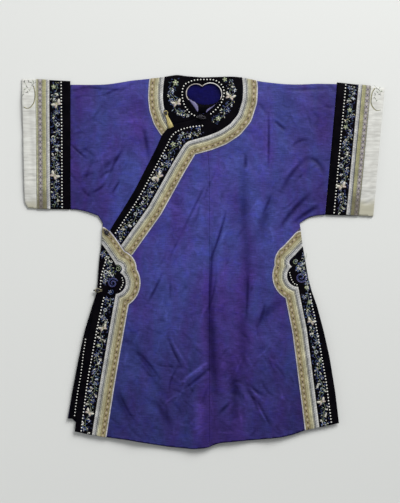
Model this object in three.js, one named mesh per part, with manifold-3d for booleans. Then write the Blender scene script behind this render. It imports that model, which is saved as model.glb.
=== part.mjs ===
// A woman's side-fastening silk robe, laid flat with its front up, in millimetres.
// The shoulders lie towards +Y, the hem towards -Y, and the back rests on z = 0.
// The wearer's right side is at -X: there the outer front crosses over and fastens.

import * as THREE from "three";
import { mergeVertices } from "three/addons/utils/BufferGeometryUtils.js";
import Module from "manifold-3d";

const wasm = await Module();
wasm.setup();

// Walls and gaps
const silk = 1.6; // lined silk of the body and sleeves
const trim = 1.2; // satin borders and woven ribbons, sewn on top
const piping = 2.4; // rolled edge of the neck hole
const layGap = 0.35; // between layers that lie on each other
const seamGap = 0.3; // between pieces that meet edge to edge
const overlapLift = silk + layGap; // the outer front rides this much over the inner front

// How the laid robe stands off the table
const loft = 6; // the front stays this far above its lowest lie
const loftReach = 46; // and comes down over this distance to a joined edge
const overlapFull = { x: 40, y: 445 }; // the inner front lies below, up to here
const overlapNone = { x: 125, y: 515 };
const cell = { x: 20, y: 40 }; // grid on which the lie of the cloth is worked out
const half = { x: 540, y: 560 };
const farX = 700; // cutting shapes run out to here, past every edge
const farY = 700;
const cutLow = -5; // and from here to here in height
const cutHigh = 60;
const pastEdge = 8; // a hollow's cutting shape runs this far out of an open edge

// Ribbons along every border
const silverWidth = 14.5;
const goldWidth = 29;
const ribbonsWidth = silverWidth + goldWidth;
const discSides = 28; // sides of the round heads
const simplifyWithin = 0.01; // faces closer to flat than this are joined

// Top of the shoulders and sleeves, from the wearer's right cuff to the left one
const shoulder = [
  { x: -385.7, y: 514.5 },
  { x: -328, y: 514 },
  { x: -280, y: 515 },
  { x: -241, y: 521 },
  { x: -206, y: 527 },
  { x: -131, y: 534 },
  { x: -76, y: 543 },
  { x: -50, y: 539 },
  { x: -2, y: 535.5 },
  { x: 84, y: 538 },
  { x: 116, y: 535 },
  { x: 164, y: 524 },
  { x: 237, y: 516 },
  { x: 280, y: 515 },
  { x: 333, y: 517.5 },
  { x: 389, y: 516.5 },
];

// Underside of the sleeves, out from the armholes
const sleeveRightBelow = [
  { x: -385.7, y: 152 },
  { x: -363, y: 151.5 },
  { x: -334, y: 144 },
  { x: -305, y: 133 },
  { x: -292, y: 112 },
];
const sleeveLeftBelow = [
  { x: 281, y: 112 },
  { x: 310, y: 131 },
  { x: 345, y: 136 },
  { x: 355, y: 136 },
];

// Sides of the body from the armholes down; below the slit tops the edges are free.
// "inner" is the edge of the inner front, which shows past the outer one.
const slitTop = -85;
const sides = [
  { y: 112, right: -292, left: 281, inner: -292 },
  { y: 60, right: -294, left: 287, inner: -294 },
  { y: 0, right: -302, left: 297, inner: -302 },
  { y: -45, right: -305, left: 305, inner: -305 },
  { y: slitTop, right: -308, left: 315, inner: -308 },
  { y: -130, right: -316, left: 331, inner: -322 },
  { y: -200, right: -330, left: 349.5, inner: -343.5 },
  { y: -280, right: -344.5, left: 367.5, inner: -361 },
  { y: -380, right: -360, left: 383.5, inner: -380 },
];

// Lower edges, from the wearer's right corner to the left one
const frontHem = [
  { x: -372, y: -492 },
  { x: -325, y: -502 },
  { x: -282, y: -509 },
  { x: -218, y: -517 },
  { x: -144, y: -530 },
  { x: -99, y: -537 },
  { x: -31, y: -543 },
  { x: 6, y: -540.5 },
  { x: 26, y: -533 },
  { x: 46, y: -526 },
  { x: 98, y: -521 },
  { x: 159, y: -516 },
  { x: 229, y: -509 },
  { x: 263, y: -501 },
  { x: 294, y: -489 },
  { x: 339, y: -480 },
  { x: 394, y: -468 },
];
const innerHem = [
  { x: -393, y: -455 },
  { x: -372, y: -456 },
  { x: -362, y: -476 },
  { x: -270, y: -497 },
  { x: -154, y: -514 },
];
const backHem = [
  { x: -389, y: -448 },
  { x: -360, y: -478 },
  { x: -282, y: -497 },
  { x: -144, y: -518 },
  { x: -31, y: -530 },
  { x: 98, y: -509 },
  { x: 229, y: -497 },
  { x: 294, y: -477 },
  { x: 386, y: -457 },
];

// Centre seam of the outer front, and the hidden free edge of the inner front
const neckTip = { x: 2, y: 431 };
const neckGap = 10; // the shoulder line has no point nearer to the centre than this
const seamCover = 1; // borders run over the centre seam by this much on each side
const centreSeam = [
  neckTip,
  { x: 10, y: 372 },
  { x: 18, y: 250 },
  { x: 18, y: -537 },
];
const centreTop = [
  { x: -2, y: 535.5 },
  { x: -2, y: 480 },
];
const innerEdge = [
  { x: 14, y: -521 },
  { x: 14, y: 398 },
  { x: 3, y: 429 },
];

// Free upper edge of the outer front, from the underarm notch up to the neck
const flapEdge = [
  { x: -292, y: 103 },
  { x: -282, y: 97 },
  { x: -272, y: 88 },
  { x: -264, y: 102 },
  { x: -236, y: 146 },
  { x: -197, y: 210 },
  { x: -136, y: 329 },
  { x: -119, y: 368 },
  { x: -100, y: 389 },
  { x: -79, y: 401 },
  { x: -38, y: 410 },
  { x: -12, y: 419 },
];

// Heart-shaped neck hole: two round lobes and a blunt point below
const neckLobes = [
  { x: -21, y: 488, r: 27 },
  { x: 21, y: 486, r: 32 },
];
const neckPoint = [
  { x: -16, y: 433 },
  neckTip,
  { x: 10, y: 433 },
  { x: 44, y: 463 },
  { x: 21, y: 486 },
  { x: -21, y: 488 },
  { x: -42, y: 471 },
];
const neckCentre = { x: 2, y: 474 };
const pointGrowth = 1.15; // the point grows this much faster than the lobes, to keep the margin

// Line on which the rolled edge of the neck parts into two lengths
const pipingSplit = [
  { x: 2, y: 300 },
  { x: 2, y: 470 },
  { x: -2, y: 480 },
  { x: -2, y: farY },
];

// Lines where black satin meets the first ribbon
const collarLine = [
  { x: -108, y: 560 },
  { x: -115, y: 515 },
  { x: -117, y: 478 },
  { x: -114, y: 448 },
  { x: -104, y: 417 },
  { x: -85, y: 388 },
  { x: -55, y: 366 },
];
const flapLine = [
  { x: 110, y: 560 },
  { x: 116, y: 505 },
  { x: 114, y: 468 },
  { x: 101, y: 427 },
  { x: 78, y: 399 },
  { x: 48, y: 379 },
  { x: 13, y: 365 },
  { x: -45, y: 349 },
  { x: -56, y: 339 },
  { x: -91, y: 281 },
  { x: -158, y: 160 },
  { x: -237, y: 49 },
  { x: -276, y: -1 },
];
const slitBorders = {
  right: {
    outward: -1,
    taper: [
      { x: -318, y: 80 },
      { x: -288, y: 43 },
      { x: -257, y: -2 },
    ],
    lobes: [
      { x: -248, y: -21, r: 13 },
      { x: -257, y: -61, r: 33 },
    ],
    strip: [
      { x: -253, y: -92 },
      { x: -260, y: -128 },
      { x: -278, y: -229 },
      { x: -301, y: -363 },
      { x: -328, y: -535 },
    ],
  },
  left: {
    outward: 1,
    taper: [
      { x: 318, y: 75 },
      { x: 284, y: 38 },
      { x: 258, y: 10 },
    ],
    lobes: [
      { x: 262, y: -2, r: 13 },
      { x: 275, y: -41, r: 32 },
    ],
    strip: [
      { x: 276, y: -74 },
      { x: 289, y: -139 },
      { x: 301, y: -198 },
      { x: 326, y: -391 },
      { x: 344, y: -535 },
    ],
  },
};
const innerBorderWidth = 60;
const innerBorderFoot = -480;
const collarFar = { x: 250, low: 366, high: 560 }; // the collar's black side runs out to here
const flapFar = { x: 110, low: -60 }; // and that of the slanting border
const backInset = { right: 4, left: 6 }; // the back's slit edges lie this far inside

// Sleeve ends: each row is a line across the sleeve, from its top to its underside.
// Black satin runs from "black" to "cuff"; the ribbons lie on it, the cuff goes on.
const sleeveReach = 380; // the shoulder line is used up to here
const leftMouthLean = 0.4; // top of the left sleeve's mouth, towards the neck
const sleeveEnds = {
  right: {
    black: [{ x: -386, y: 525 }, { x: -385.5, y: 152 }],
    silver: [{ x: -446.5, y: 528 }, { x: -443.5, y: 152.5 }],
    gold: [{ x: -456, y: 529 }, { x: -453.5, y: 153 }],
    cuff: [{ x: -486, y: 530.5 }, { x: -482.5, y: 153.5 }],
    end: [
      { x: -527, y: 531 },
      { x: -524, y: 423 },
      { x: -518, y: 172 },
      { x: -508, y: 156 },
    ],
  },
  left: {
    black: [{ x: 389.5, y: 521.5 }, { x: 355, y: 136 }],
    silver: [{ x: 451, y: 515.5 }, { x: 415, y: 136 }],
    gold: [{ x: 462, y: 514 }, { x: 428, y: 135 }],
    cuff: [{ x: 486.5, y: 511 }, { x: 451.5, y: 133.5 }],
    end: [
      { x: 527, y: 505 },
      { x: 516, y: 388 },
      { x: 494, y: 131 },
    ],
  },
};

// Largest soft folds: ridges from one point to another
const folds = [
  { fromX: 170, fromY: 40, toX: 203, toY: -530, width: 34, fromHeight: 2, toHeight: 6.5 },
  { fromX: 60, fromY: 20, toX: 88, toY: -530, width: 28, fromHeight: 2, toHeight: 5 },
  { fromX: -18, fromY: -40, toX: -12, toY: -550, width: 27, fromHeight: 2, toHeight: 7.5 },
  { fromX: -128, fromY: 40, toX: -196, toY: -530, width: 36, fromHeight: 1.5, toHeight: 5 },
  { fromX: 245, fromY: -120, toX: 285, toY: -520, width: 26, fromHeight: 1.5, toHeight: 4.5 },
  { fromX: -355, fromY: 175, toX: -205, toY: 385, width: 34, fromHeight: 4, toHeight: 2 },
  { fromX: 330, fromY: 170, toX: 215, toY: 345, width: 34, fromHeight: 4, toHeight: 2 },
  { fromX: 150, fromY: 250, toX: 165, toY: 90, width: 30, fromHeight: 1.5, toHeight: 2.5 },
];

// Knot buttons and their loops: the loop lies at "angle" degrees from the knot
const knotRadius = 4.3;
const knotSides = { around: 12, up: 8 };
const knotRise = 0.4;
const knotStem = { length: 10, width: 4.4, thickness: 2.4, past: 3.2, up: 2.2 };
const cordRadius = 1.3;
const cordSides = 6;
const loopTightness = 0.2; // the loop grips its knot
const loopEnds = { across: 1.6, up: 1.5 };
const loopWaist = { past: 3.4, across: 2.4, up: 1.5 };
// One side of a loop round its knot: "along" and "across" in loop radii
const loopSide = [
  { along: 0.11, across: 1, up: 1.7 },
  { along: -0.72, across: 0.76, up: 2 },
  { along: -1.04, across: 0.72, up: 5.4 },
];
const loopFarEnd = { along: -1.08, up: 6.2 };
const closures = {
  neck: { x: -6, y: 419, angle: -12, reach: 14, cord: "satin" },
  chest: { x: -108, y: 430, angle: -70, reach: 45, cord: "gold" },
  underarm: { x: -279, y: 84, angle: -45, reach: 14, cord: "satin" },
  slit: { x: -306, y: -83, angle: 0, reach: 13, cord: "gold" },
};

const looks = {
  silk: { color: 0x3d387b, roughness: 0.45 },
  silkBack: { color: 0x37326e, roughness: 0.5 },
  satin: { color: 0x131019, roughness: 0.4 },
  silver: { color: 0xa9a8a4, roughness: 0.5 },
  gold: { color: 0x8d8873, roughness: 0.6 },
  cuff: { color: 0xcdcdc7, roughness: 0.45 },
  piping: { color: 0x9d9892, roughness: 0.6 },
};

const smooth = (t) => {
  const s = Math.min(Math.max(t, 0), 1);
  return s * s * (3 - 2 * s);
};

// Point lists

const reversed = (points) => [...points].reverse();

const sideEdge = (column, above) =>
  sides
    .filter((row) => (above ? row.y >= slitTop : row.y <= slitTop))
    .map((row) => ({ x: row[column], y: row.y }));

// Line moved to the left of its own direction, with mitred corners
function moved(points, distance) {
  const normal = (a, b) => {
    const length = Math.hypot(b.x - a.x, b.y - a.y);
    return { x: (a.y - b.y) / length, y: (b.x - a.x) / length };
  };
  return points.map((point, i) => {
    const before = normal(points[Math.max(i - 1, 0)], points[Math.max(i, 1)]);
    const last = points.length - 1;
    const after = normal(points[Math.min(i, last - 1)], points[Math.min(i + 1, last)]);
    const mitre = 1 + before.x * after.x + before.y * after.y;
    return {
      x: point.x + (distance * (before.x + after.x)) / mitre,
      y: point.y + (distance * (before.y + after.y)) / mitre,
    };
  });
}

const movedRing = (ring, distance) =>
  moved([ring[ring.length - 1], ...ring, ring[0]], distance).slice(1, -1);

function distanceToLine(line, x, y) {
  let best = { distance: Infinity, along: 0 };
  for (let i = 0; i + 1 < line.length; i += 1) {
    const [a, b] = [line[i], line[i + 1]];
    const [dx, dy] = [b.x - a.x, b.y - a.y];
    const raw = ((x - a.x) * dx + (y - a.y) * dy) / (dx * dx + dy * dy);
    const t = Math.min(Math.max(raw, 0), 1);
    const distance = Math.hypot(x - a.x - t * dx, y - a.y - t * dy);
    if (distance < best.distance) best = { distance, along: t };
  }
  return best;
}

function encloses(ring, x, y) {
  let inside = false;
  ring.forEach((a, i) => {
    const b = ring[(i + 1) % ring.length];
    const crosses = a.y > y !== b.y > y;
    if (crosses && x < a.x + ((y - a.y) / (b.y - a.y)) * (b.x - a.x)) inside = !inside;
  });
  return inside;
}

// Lie of the cloth: z of the underside of the front at (x, y)

const topLine = [
  { x: -farX, y: 531 },
  ...sleeveEnds.right.end.slice(0, 1),
  sleeveEnds.right.black[0],
  ...shoulder,
  sleeveEnds.left.black[0],
  ...sleeveEnds.left.end.slice(0, 1),
  { x: farX, y: 495 },
];
const rightLine = [{ x: -farX, y: 153 }, ...sleeveRightBelow, ...sideEdge("right", true).slice(1)];
const leftLine = [{ x: farX, y: 131 }, ...reversed(sleeveLeftBelow), ...sideEdge("left", true).slice(1)];
const loftRing = [
  ...topLine,
  ...leftLine,
  { x: farX, y: -300 },
  { x: farX, y: -farY },
  { x: -farX, y: -farY },
  { x: -farX, y: -300 },
  ...reversed(rightLine),
];

function innerLie(x, y) {
  if (!encloses(loftRing, x, y)) return silk + layGap;
  const edges = [topLine, rightLine, leftLine].map((line) => distanceToLine(line, x, y).distance);
  const rise = smooth(Math.min(...edges) / loftReach);
  let height = loft;
  for (const fold of folds) {
    const ridge = [{ x: fold.fromX, y: fold.fromY }, { x: fold.toX, y: fold.toY }];
    const { distance, along } = distanceToLine(ridge, x, y);
    const crest = fold.fromHeight + along * (fold.toHeight - fold.fromHeight);
    height += crest * Math.exp(-((distance / fold.width) ** 2));
  }
  return silk + layGap + rise * height;
}

function outerLie(x, y) {
  const acrossPart = 1 - smooth((x - overlapFull.x) / (overlapNone.x - overlapFull.x));
  const upPart = 1 - smooth((y - overlapFull.y) / (overlapNone.y - overlapFull.y));
  return innerLie(x, y) + overlapLift * acrossPart * upPart;
}

// Solids

function solidOf(geometry) {
  const bare = geometry.clone();
  bare.deleteAttribute("normal");
  bare.deleteAttribute("uv");
  const merged = mergeVertices(bare, 1e-4);
  const mesh = new wasm.Mesh({
    numProp: 3,
    vertProperties: new Float32Array(merged.attributes.position.array),
    triVerts: new Uint32Array(merged.index.array),
  });
  return new wasm.Manifold(mesh);
}

function prism(points, low = cutLow, high = cutHigh) {
  const shape = new THREE.Shape(points.map((point) => new THREE.Vector2(point.x, point.y)));
  const geometry = new THREE.ExtrudeGeometry(shape, { depth: high - low, bevelEnabled: false });
  geometry.translate(0, 0, low);
  return solidOf(geometry);
}

function disc(lobe, grow) {
  const radius = lobe.r + grow;
  const geometry = new THREE.CylinderGeometry(radius, radius, cutHigh - cutLow, discSides);
  geometry.rotateX(Math.PI / 2);
  geometry.translate(lobe.x, lobe.y, (cutHigh + cutLow) / 2);
  return solidOf(geometry);
}

// Block of the cloth's grid between two heights, which are numbers or functions of (x, y)
function block(low, high) {
  const columns = Math.round((2 * half.x) / cell.x);
  const rows = Math.round((2 * half.y) / cell.y);
  const heightOf = (bound, x, y) => (typeof bound === "number" ? bound : bound(x, y));
  const positions = [];
  for (const bound of [low, high]) {
    for (let j = 0; j <= rows; j += 1) {
      for (let i = 0; i <= columns; i += 1) {
        const x = i * cell.x - half.x;
        const y = j * cell.y - half.y;
        positions.push(x, y, heightOf(bound, x, y));
      }
    }
  }
  const layer = (columns + 1) * (rows + 1);
  const at = (i, j, top) => top * layer + j * (columns + 1) + i;
  const index = [];
  const quad = (a, b, c, d) => index.push(a, b, c, a, c, d);
  for (let j = 0; j < rows; j += 1) {
    for (let i = 0; i < columns; i += 1) {
      quad(at(i, j, 1), at(i + 1, j, 1), at(i + 1, j + 1, 1), at(i, j + 1, 1));
      index.push(at(i, j, 0), at(i + 1, j + 1, 0), at(i + 1, j, 0));
      index.push(at(i, j, 0), at(i, j + 1, 0), at(i + 1, j + 1, 0));
    }
  }
  for (let i = 0; i < columns; i += 1) {
    quad(at(i, 0, 0), at(i + 1, 0, 0), at(i + 1, 0, 1), at(i, 0, 1));
    quad(at(i + 1, rows, 0), at(i, rows, 0), at(i, rows, 1), at(i + 1, rows, 1));
  }
  for (let j = 0; j < rows; j += 1) {
    quad(at(0, j + 1, 0), at(0, j, 0), at(0, j, 1), at(0, j + 1, 1));
    quad(at(columns, j, 0), at(columns, j + 1, 0), at(columns, j + 1, 1), at(columns, j, 1));
  }
  const geometry = new THREE.BufferGeometry();
  geometry.setAttribute("position", new THREE.Float32BufferAttribute(positions, 3));
  geometry.setIndex(index);
  return solidOf(geometry);
}

const above = (lie, lift) => (x, y) => lie(x, y) + lift;
const layer = (lie, lift, thickness) => block(above(lie, lift), above(lie, lift + thickness));

const trimLift = silk + layGap;
const lies = {
  inner: {
    sheet: block(silk + layGap, above(innerLie, silk)),
    hollow: block(cutLow, innerLie),
    trim: layer(innerLie, trimLift, trim),
  },
  outer: {
    sheet: layer(outerLie, 0, silk),
    trim: layer(outerLie, trimLift, trim),
    piping: layer(outerLie, trimLift, piping),
    below: block(cutLow, above(outerLie, trimLift + trim + seamGap)),
  },
};

// A panel whose joined stretches turn down to the back; its free stretches stay open
function hollowPanel(stretches, sheetBlock, hollowBlock) {
  const outline = stretches.flatMap((stretch) => stretch.points);
  const inside = stretches.flatMap((stretch) =>
    moved(stretch.points, stretch.joined ? silk : -pastEdge)
  );
  return prism(outline).intersect(sheetBlock).subtract(prism(inside).intersect(hollowBlock));
}

const joined = (points) => ({ points, joined: true });
const free = (points) => ({ points, joined: false });

// Neck hole, grown by a margin
function neckHole(grow) {
  const point = neckPoint.map((p) => {
    const [dx, dy] = [p.x - neckCentre.x, p.y - neckCentre.y];
    const scale = 1 + (pointGrowth * grow) / Math.hypot(dx, dy);
    return { x: neckCentre.x + dx * scale, y: neckCentre.y + dy * scale };
  });
  return neckLobes.reduce((sum, lobe) => sum.add(disc(lobe, grow)), prism(point));
}

// Everything on the black side of a border's line, grown by a margin
function collarRegion(grow) {
  const line = moved(collarLine, -grow);
  const { x, low, high } = collarFar;
  return prism([...line, { x, y: low }, { x, y: high }]);
}

function flapRegion(grow) {
  const line = moved(flapLine, grow);
  const far = [{ x: -farX, y: flapFar.low }, { x: -farX, y: farY }, { x: flapFar.x, y: farY }];
  return prism([...line, ...far]);
}

function slitRegion(border, grow) {
  const side = border.outward;
  const far = side * farX;
  const shift = side * grow;
  const taper = moved(border.taper, -shift);
  const strip = moved(border.strip, -shift);
  const taperEnd = taper[taper.length - 1];
  const taperPart = [...taper, { x: far, y: taperEnd.y }, { x: far, y: taper[0].y }];
  const stripPart = [...strip, { x: far, y: -farY }, { x: far, y: strip[0].y }];
  const core = prism([
    taperEnd,
    ...border.lobes,
    strip[0],
    { x: far, y: strip[0].y },
    { x: far, y: taperEnd.y },
  ]);
  const parts = [prism(taperPart), prism(stripPart), ...border.lobes.map((l) => disc(l, grow))];
  return parts.reduce((sum, part) => sum.add(part), core);
}

// Black, silver and gold pieces of a border, side by side with a seam's gap between them
function borderSet(region, ground, lieTrim) {
  const edge = seamGap / 2;
  const cut = (inner, outer) => {
    const ring = inner === null ? region(outer) : region(outer).subtract(region(inner));
    return ring.intersect(ground).intersect(lieTrim);
  };
  return {
    black: cut(null, -edge),
    silver: cut(edge, silverWidth - edge),
    gold: cut(silverWidth + edge, ribbonsWidth),
  };
}

// Outlines of the panels, seen from above, anticlockwise

const halfGap = seamGap / 2;
const shifted = (line, grow) => line.map((point) => ({ x: point.x + grow, y: point.y }));
const rightMouth = shifted(sleeveEnds.right.black, halfGap).map((point, i) => ({
  x: point.x,
  y: i === 0 ? shoulder[0].y : point.y,
}));
const leftMouth = shifted(sleeveEnds.left.black, -halfGap).map((point, i) => ({
  x: i === 0 ? point.x - leftMouthLean : point.x,
  y: i === 0 ? shoulder[shoulder.length - 1].y : point.y,
}));
const within = (points, low, high) => points.filter((point) => point.x > low && point.x < high);

const frontSeamRight = moved(centreSeam, -halfGap);
const frontSeamLeft = moved(centreSeam, halfGap);
const seamFoot = centreSeam[centreSeam.length - 1];

const innerFrontStretches = [
  free(shifted(reversed(centreTop), -halfGap)),
  joined(reversed(within(shoulder, -sleeveReach, -neckGap))),
  free(rightMouth),
  joined([...sleeveRightBelow.slice(1), ...sideEdge("inner", true).slice(1)]),
  free([...sideEdge("inner", false).slice(1), ...innerHem.slice(0, -1), ...innerEdge]),
];
const overlapOutline = [
  ...frontSeamRight,
  ...reversed(within(frontHem, -farX, seamFoot.x - 1)),
  ...reversed(sideEdge("right", false)),
  ...reversed(sideEdge("right", true)).slice(1, -1),
  ...flapEdge,
];
const frontLeftStretches = [
  free([
    ...frontSeamLeft,
    ...within(frontHem, seamFoot.x + 1, farX),
    ...reversed(sideEdge("left", false)).slice(0, -1),
  ]),
  joined([...reversed(sideEdge("left", true)), ...sleeveLeftBelow.slice(1, -1)]),
  free(reversed(leftMouth)),
  joined(reversed(within(shoulder, neckGap, sleeveReach))),
  free(shifted(centreTop, halfGap)),
];
const backOutline = [
  ...reversed(within(shoulder, -sleeveReach, sleeveReach)),
  ...rightMouth,
  ...sleeveRightBelow.slice(1),
  ...sideEdge("inner", true).slice(1),
  ...shifted(sideEdge("inner", false).slice(1), backInset.right),
  ...backHem,
  ...shifted(reversed(sideEdge("left", false)).slice(0, -1), -backInset.left),
  ...reversed(sideEdge("left", true)),
  ...sleeveLeftBelow.slice(1, -1),
  ...reversed(leftMouth),
];

// Panels

const hole = neckHole(0);
const pipedHole = neckHole(piping + seamGap);
const overlapGround = prism(overlapOutline);
const leftGround = prism(frontLeftStretches.flatMap((stretch) => stretch.points));
const seamStrip = prism([
  ...moved(centreSeam, -seamCover),
  ...reversed(moved(centreSeam, seamCover)),
]);
const outerGround = overlapGround.add(leftGround).add(seamStrip);
const overlapKerf = prism(movedRing(overlapOutline, seamGap));
const innerGround = prism(innerFrontStretches.flatMap((stretch) => stretch.points));

function frontPanels() {
  const leftHollow = block(cutLow, outerLie);
  const leftSheet = block(silk + layGap, above(outerLie, silk));
  return {
    front_inner: hollowPanel(innerFrontStretches, lies.inner.sheet, lies.inner.hollow).subtract(hole),
    front_overlap: overlapGround.intersect(lies.outer.sheet),
    front_left: hollowPanel(frontLeftStretches, leftSheet, leftHollow).subtract(hole),
  };
}

// Borders sewn on the fronts

const borderRight = (grow) => slitRegion(slitBorders.right, grow);
const borderLeft = (grow) => slitRegion(slitBorders.left, grow);

function frontBorders() {
  const slitRight = borderSet(borderRight, overlapGround, lies.outer.trim);
  const slitLeft = borderSet(borderLeft, leftGround, lies.outer.trim);
  const flapGround = outerGround.subtract(borderRight(ribbonsWidth + seamGap));
  const flap = borderSet(flapRegion, flapGround, lies.outer.trim);
  const clearOfFlap = innerGround.subtract(overlapKerf).subtract(seamStrip).subtract(leftGround);
  const collar = borderSet(collarRegion, clearOfFlap, lies.inner.trim);
  const slitEdge = [...sideEdge("inner", false), { x: innerHem[0].x, y: innerBorderFoot }];
  const innerBand = prism([...slitEdge, ...reversed(shifted(slitEdge, innerBorderWidth))]);
  return {
    collar_satin: collar.black.subtract(pipedHole),
    collar_silver: collar.silver,
    collar_gold: collar.gold,
    flap_satin: flap.black.subtract(pipedHole),
    flap_silver: flap.silver,
    flap_gold: flap.gold,
    slit_right_satin: slitRight.black,
    slit_right_silver: slitRight.silver,
    slit_right_gold: slitRight.gold,
    slit_left_satin: slitLeft.black,
    slit_left_silver: slitLeft.silver,
    slit_left_gold: slitLeft.gold,
    inner_border_satin: innerBand.intersect(clearOfFlap).intersect(lies.inner.trim),
  };
}

// Rolled edge of the neck hole, in two halves that part at the front point and top notch
function neckPiping() {
  const ring = neckHole(piping).subtract(hole);
  const sideOf = (out) => {
    const far = [{ x: out * farX, y: farY }, { x: out * farX, y: pipingSplit[0].y }];
    return prism([...shifted(pipingSplit, out * halfGap), ...far]);
  };
  const innerRing = ring.intersect(layer(innerLie, trimLift, piping));
  return {
    piping_inner: innerRing.intersect(sideOf(-1)).subtract(overlapKerf),
    piping_outer: ring.intersect(lies.outer.piping).intersect(sideOf(1)),
  };
}

// Sleeve ends: satin tube with two ribbons on it, and the cuff beyond

function sleeveEnd(side) {
  const lines = sleeveEnds[side];
  const out = side === "left" ? 1 : -1;
  const shiftLine = (line, grow) => shifted(line, out * grow);
  const tube = (start, finish) => {
    const top = [start[0], finish[0]];
    const below = [finish[finish.length - 1], start[start.length - 1]];
    const mouth = finish.slice(1, -1);
    const outline = [...top, ...mouth, ...below];
    const past = out * pastEdge;
    const inset = [
      { x: start[0].x - past, y: start[0].y - silk },
      { x: finish[0].x + past, y: finish[0].y - silk },
      ...mouth.map((point) => ({ x: point.x + past, y: point.y })),
      { x: below[0].x + past, y: below[0].y + silk },
      { x: below[1].x - past, y: below[1].y + silk },
    ];
    const wall = block(0, above(innerLie, silk));
    const space = block(silk, innerLie);
    return prism(outline).intersect(wall).subtract(prism(inset).intersect(space));
  };
  const ribbon = (start, finish) =>
    prism([start[0], finish[0], finish[1], start[1]]).intersect(lies.inner.trim);
  return {
    [`sleeve_${side}_satin`]: tube(shiftLine(lines.black, halfGap), shiftLine(lines.cuff, -halfGap)),
    [`sleeve_${side}_silver`]: ribbon(lines.silver, shiftLine(lines.gold, -halfGap)),
    [`sleeve_${side}_gold`]: ribbon(shiftLine(lines.gold, halfGap), shiftLine(lines.cuff, -halfGap)),
    [`cuff_${side}`]: tube(shiftLine(lines.cuff, halfGap), lines.end),
  };
}

// Knot buttons and cord loops

function cord(points) {
  const ring = Array.from({ length: cordSides }, (_, i) => {
    const angle = (i / cordSides) * 2 * Math.PI;
    return new THREE.Vector2(cordRadius * Math.cos(angle), cordRadius * Math.sin(angle));
  });
  const extrudePath = new THREE.CatmullRomCurve3(points.map((p) => new THREE.Vector3(...p)));
  const settings = { steps: 2 * points.length, extrudePath, bevelEnabled: false };
  return new THREE.ExtrudeGeometry(new THREE.Shape(ring), settings);
}

function closure(name, place) {
  const turn = (place.angle * Math.PI) / 180;
  const floor = outerLie(place.x, place.y) + trimLift + trim + seamGap;
  const put = (geometry) => {
    geometry.rotateZ(turn);
    geometry.translate(place.x, place.y, floor);
    return solidOf(geometry).subtract(lies.outer.below);
  };
  const round = knotRadius + cordRadius - loopTightness;
  const knot = new THREE.SphereGeometry(knotRadius, knotSides.around, knotSides.up);
  knot.translate(0, 0, knotRadius + knotRise);
  const stem = new THREE.BoxGeometry(knotStem.length, knotStem.width, knotStem.thickness);
  stem.translate(-knotRadius - knotStem.past, 0, knotStem.up);
  const oneSide = (sign) => [
    [place.reach, sign * loopEnds.across, loopEnds.up],
    [knotRadius + loopWaist.past, sign * loopWaist.across, loopWaist.up],
    ...loopSide.map((row) => [row.along * round, sign * row.across * round, row.up]),
  ];
  const farEnd = [loopFarEnd.along * round, 0, loopFarEnd.up];
  const loop = cord([...oneSide(-1), farEnd, ...reversed(oneSide(1))]);
  return {
    [`${name}_knot`]: put(knot).add(put(stem)),
    [`${name}_loop`]: put(loop),
  };
}

// The group

function lookOf(name) {
  if (name === "back_panel") return looks.silkBack;
  if (name.startsWith("front_")) return looks.silk;
  if (name.startsWith("cuff_")) return looks.cuff;
  if (name.startsWith("piping_")) return looks.piping;
  if (name.endsWith("_silver")) return looks.silver;
  if (name.endsWith("_gold")) return looks.gold;
  const closureName = name.split("_")[0];
  if (name.endsWith("_loop") && closures[closureName].cord === "gold") return looks.gold;
  return looks.satin;
}

function meshOf(name, solid) {
  const mesh = solid.simplify(simplifyWithin).getMesh();
  const geometry = new THREE.BufferGeometry();
  geometry.setAttribute("position", new THREE.BufferAttribute(mesh.vertProperties, 3));
  geometry.setIndex(new THREE.BufferAttribute(mesh.triVerts, 1));
  geometry.computeVertexNormals();
  const material = new THREE.MeshStandardMaterial({ ...lookOf(name), metalness: 0 });
  const result = new THREE.Mesh(geometry, material);
  result.name = name;
  return result;
}

const solids = {
  back_panel: prism(backOutline, 0, silk),
  ...frontPanels(),
  ...frontBorders(),
  ...neckPiping(),
  ...sleeveEnd("right"),
  ...sleeveEnd("left"),
};
for (const [name, place] of Object.entries(closures)) {
  Object.assign(solids, closure(name, place));
}

const robe = new THREE.Group();
robe.name = "robe";
for (const [name, solid] of Object.entries(solids)) {
  robe.add(meshOf(name, solid));
}

export default robe;
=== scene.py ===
import math

import bpy
import numpy as np
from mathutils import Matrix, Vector
from mathutils.bvhtree import BVHTree
from mathutils.geometry import delaunay_2d_cdt


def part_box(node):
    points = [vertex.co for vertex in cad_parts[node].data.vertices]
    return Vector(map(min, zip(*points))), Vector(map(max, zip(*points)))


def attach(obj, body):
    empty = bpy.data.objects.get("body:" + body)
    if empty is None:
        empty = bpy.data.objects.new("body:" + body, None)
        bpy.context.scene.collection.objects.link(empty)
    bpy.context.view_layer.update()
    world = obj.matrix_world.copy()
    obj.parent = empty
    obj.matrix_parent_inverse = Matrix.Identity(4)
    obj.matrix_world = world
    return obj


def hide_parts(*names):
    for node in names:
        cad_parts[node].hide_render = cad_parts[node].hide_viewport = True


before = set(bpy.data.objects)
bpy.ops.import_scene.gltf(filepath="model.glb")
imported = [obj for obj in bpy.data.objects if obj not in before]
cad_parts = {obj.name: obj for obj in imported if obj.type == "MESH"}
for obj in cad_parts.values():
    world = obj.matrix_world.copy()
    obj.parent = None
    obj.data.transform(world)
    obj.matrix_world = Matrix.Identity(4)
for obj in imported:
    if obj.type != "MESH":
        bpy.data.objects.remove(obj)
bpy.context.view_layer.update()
scene = bpy.context.scene
mm = 0.001

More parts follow.
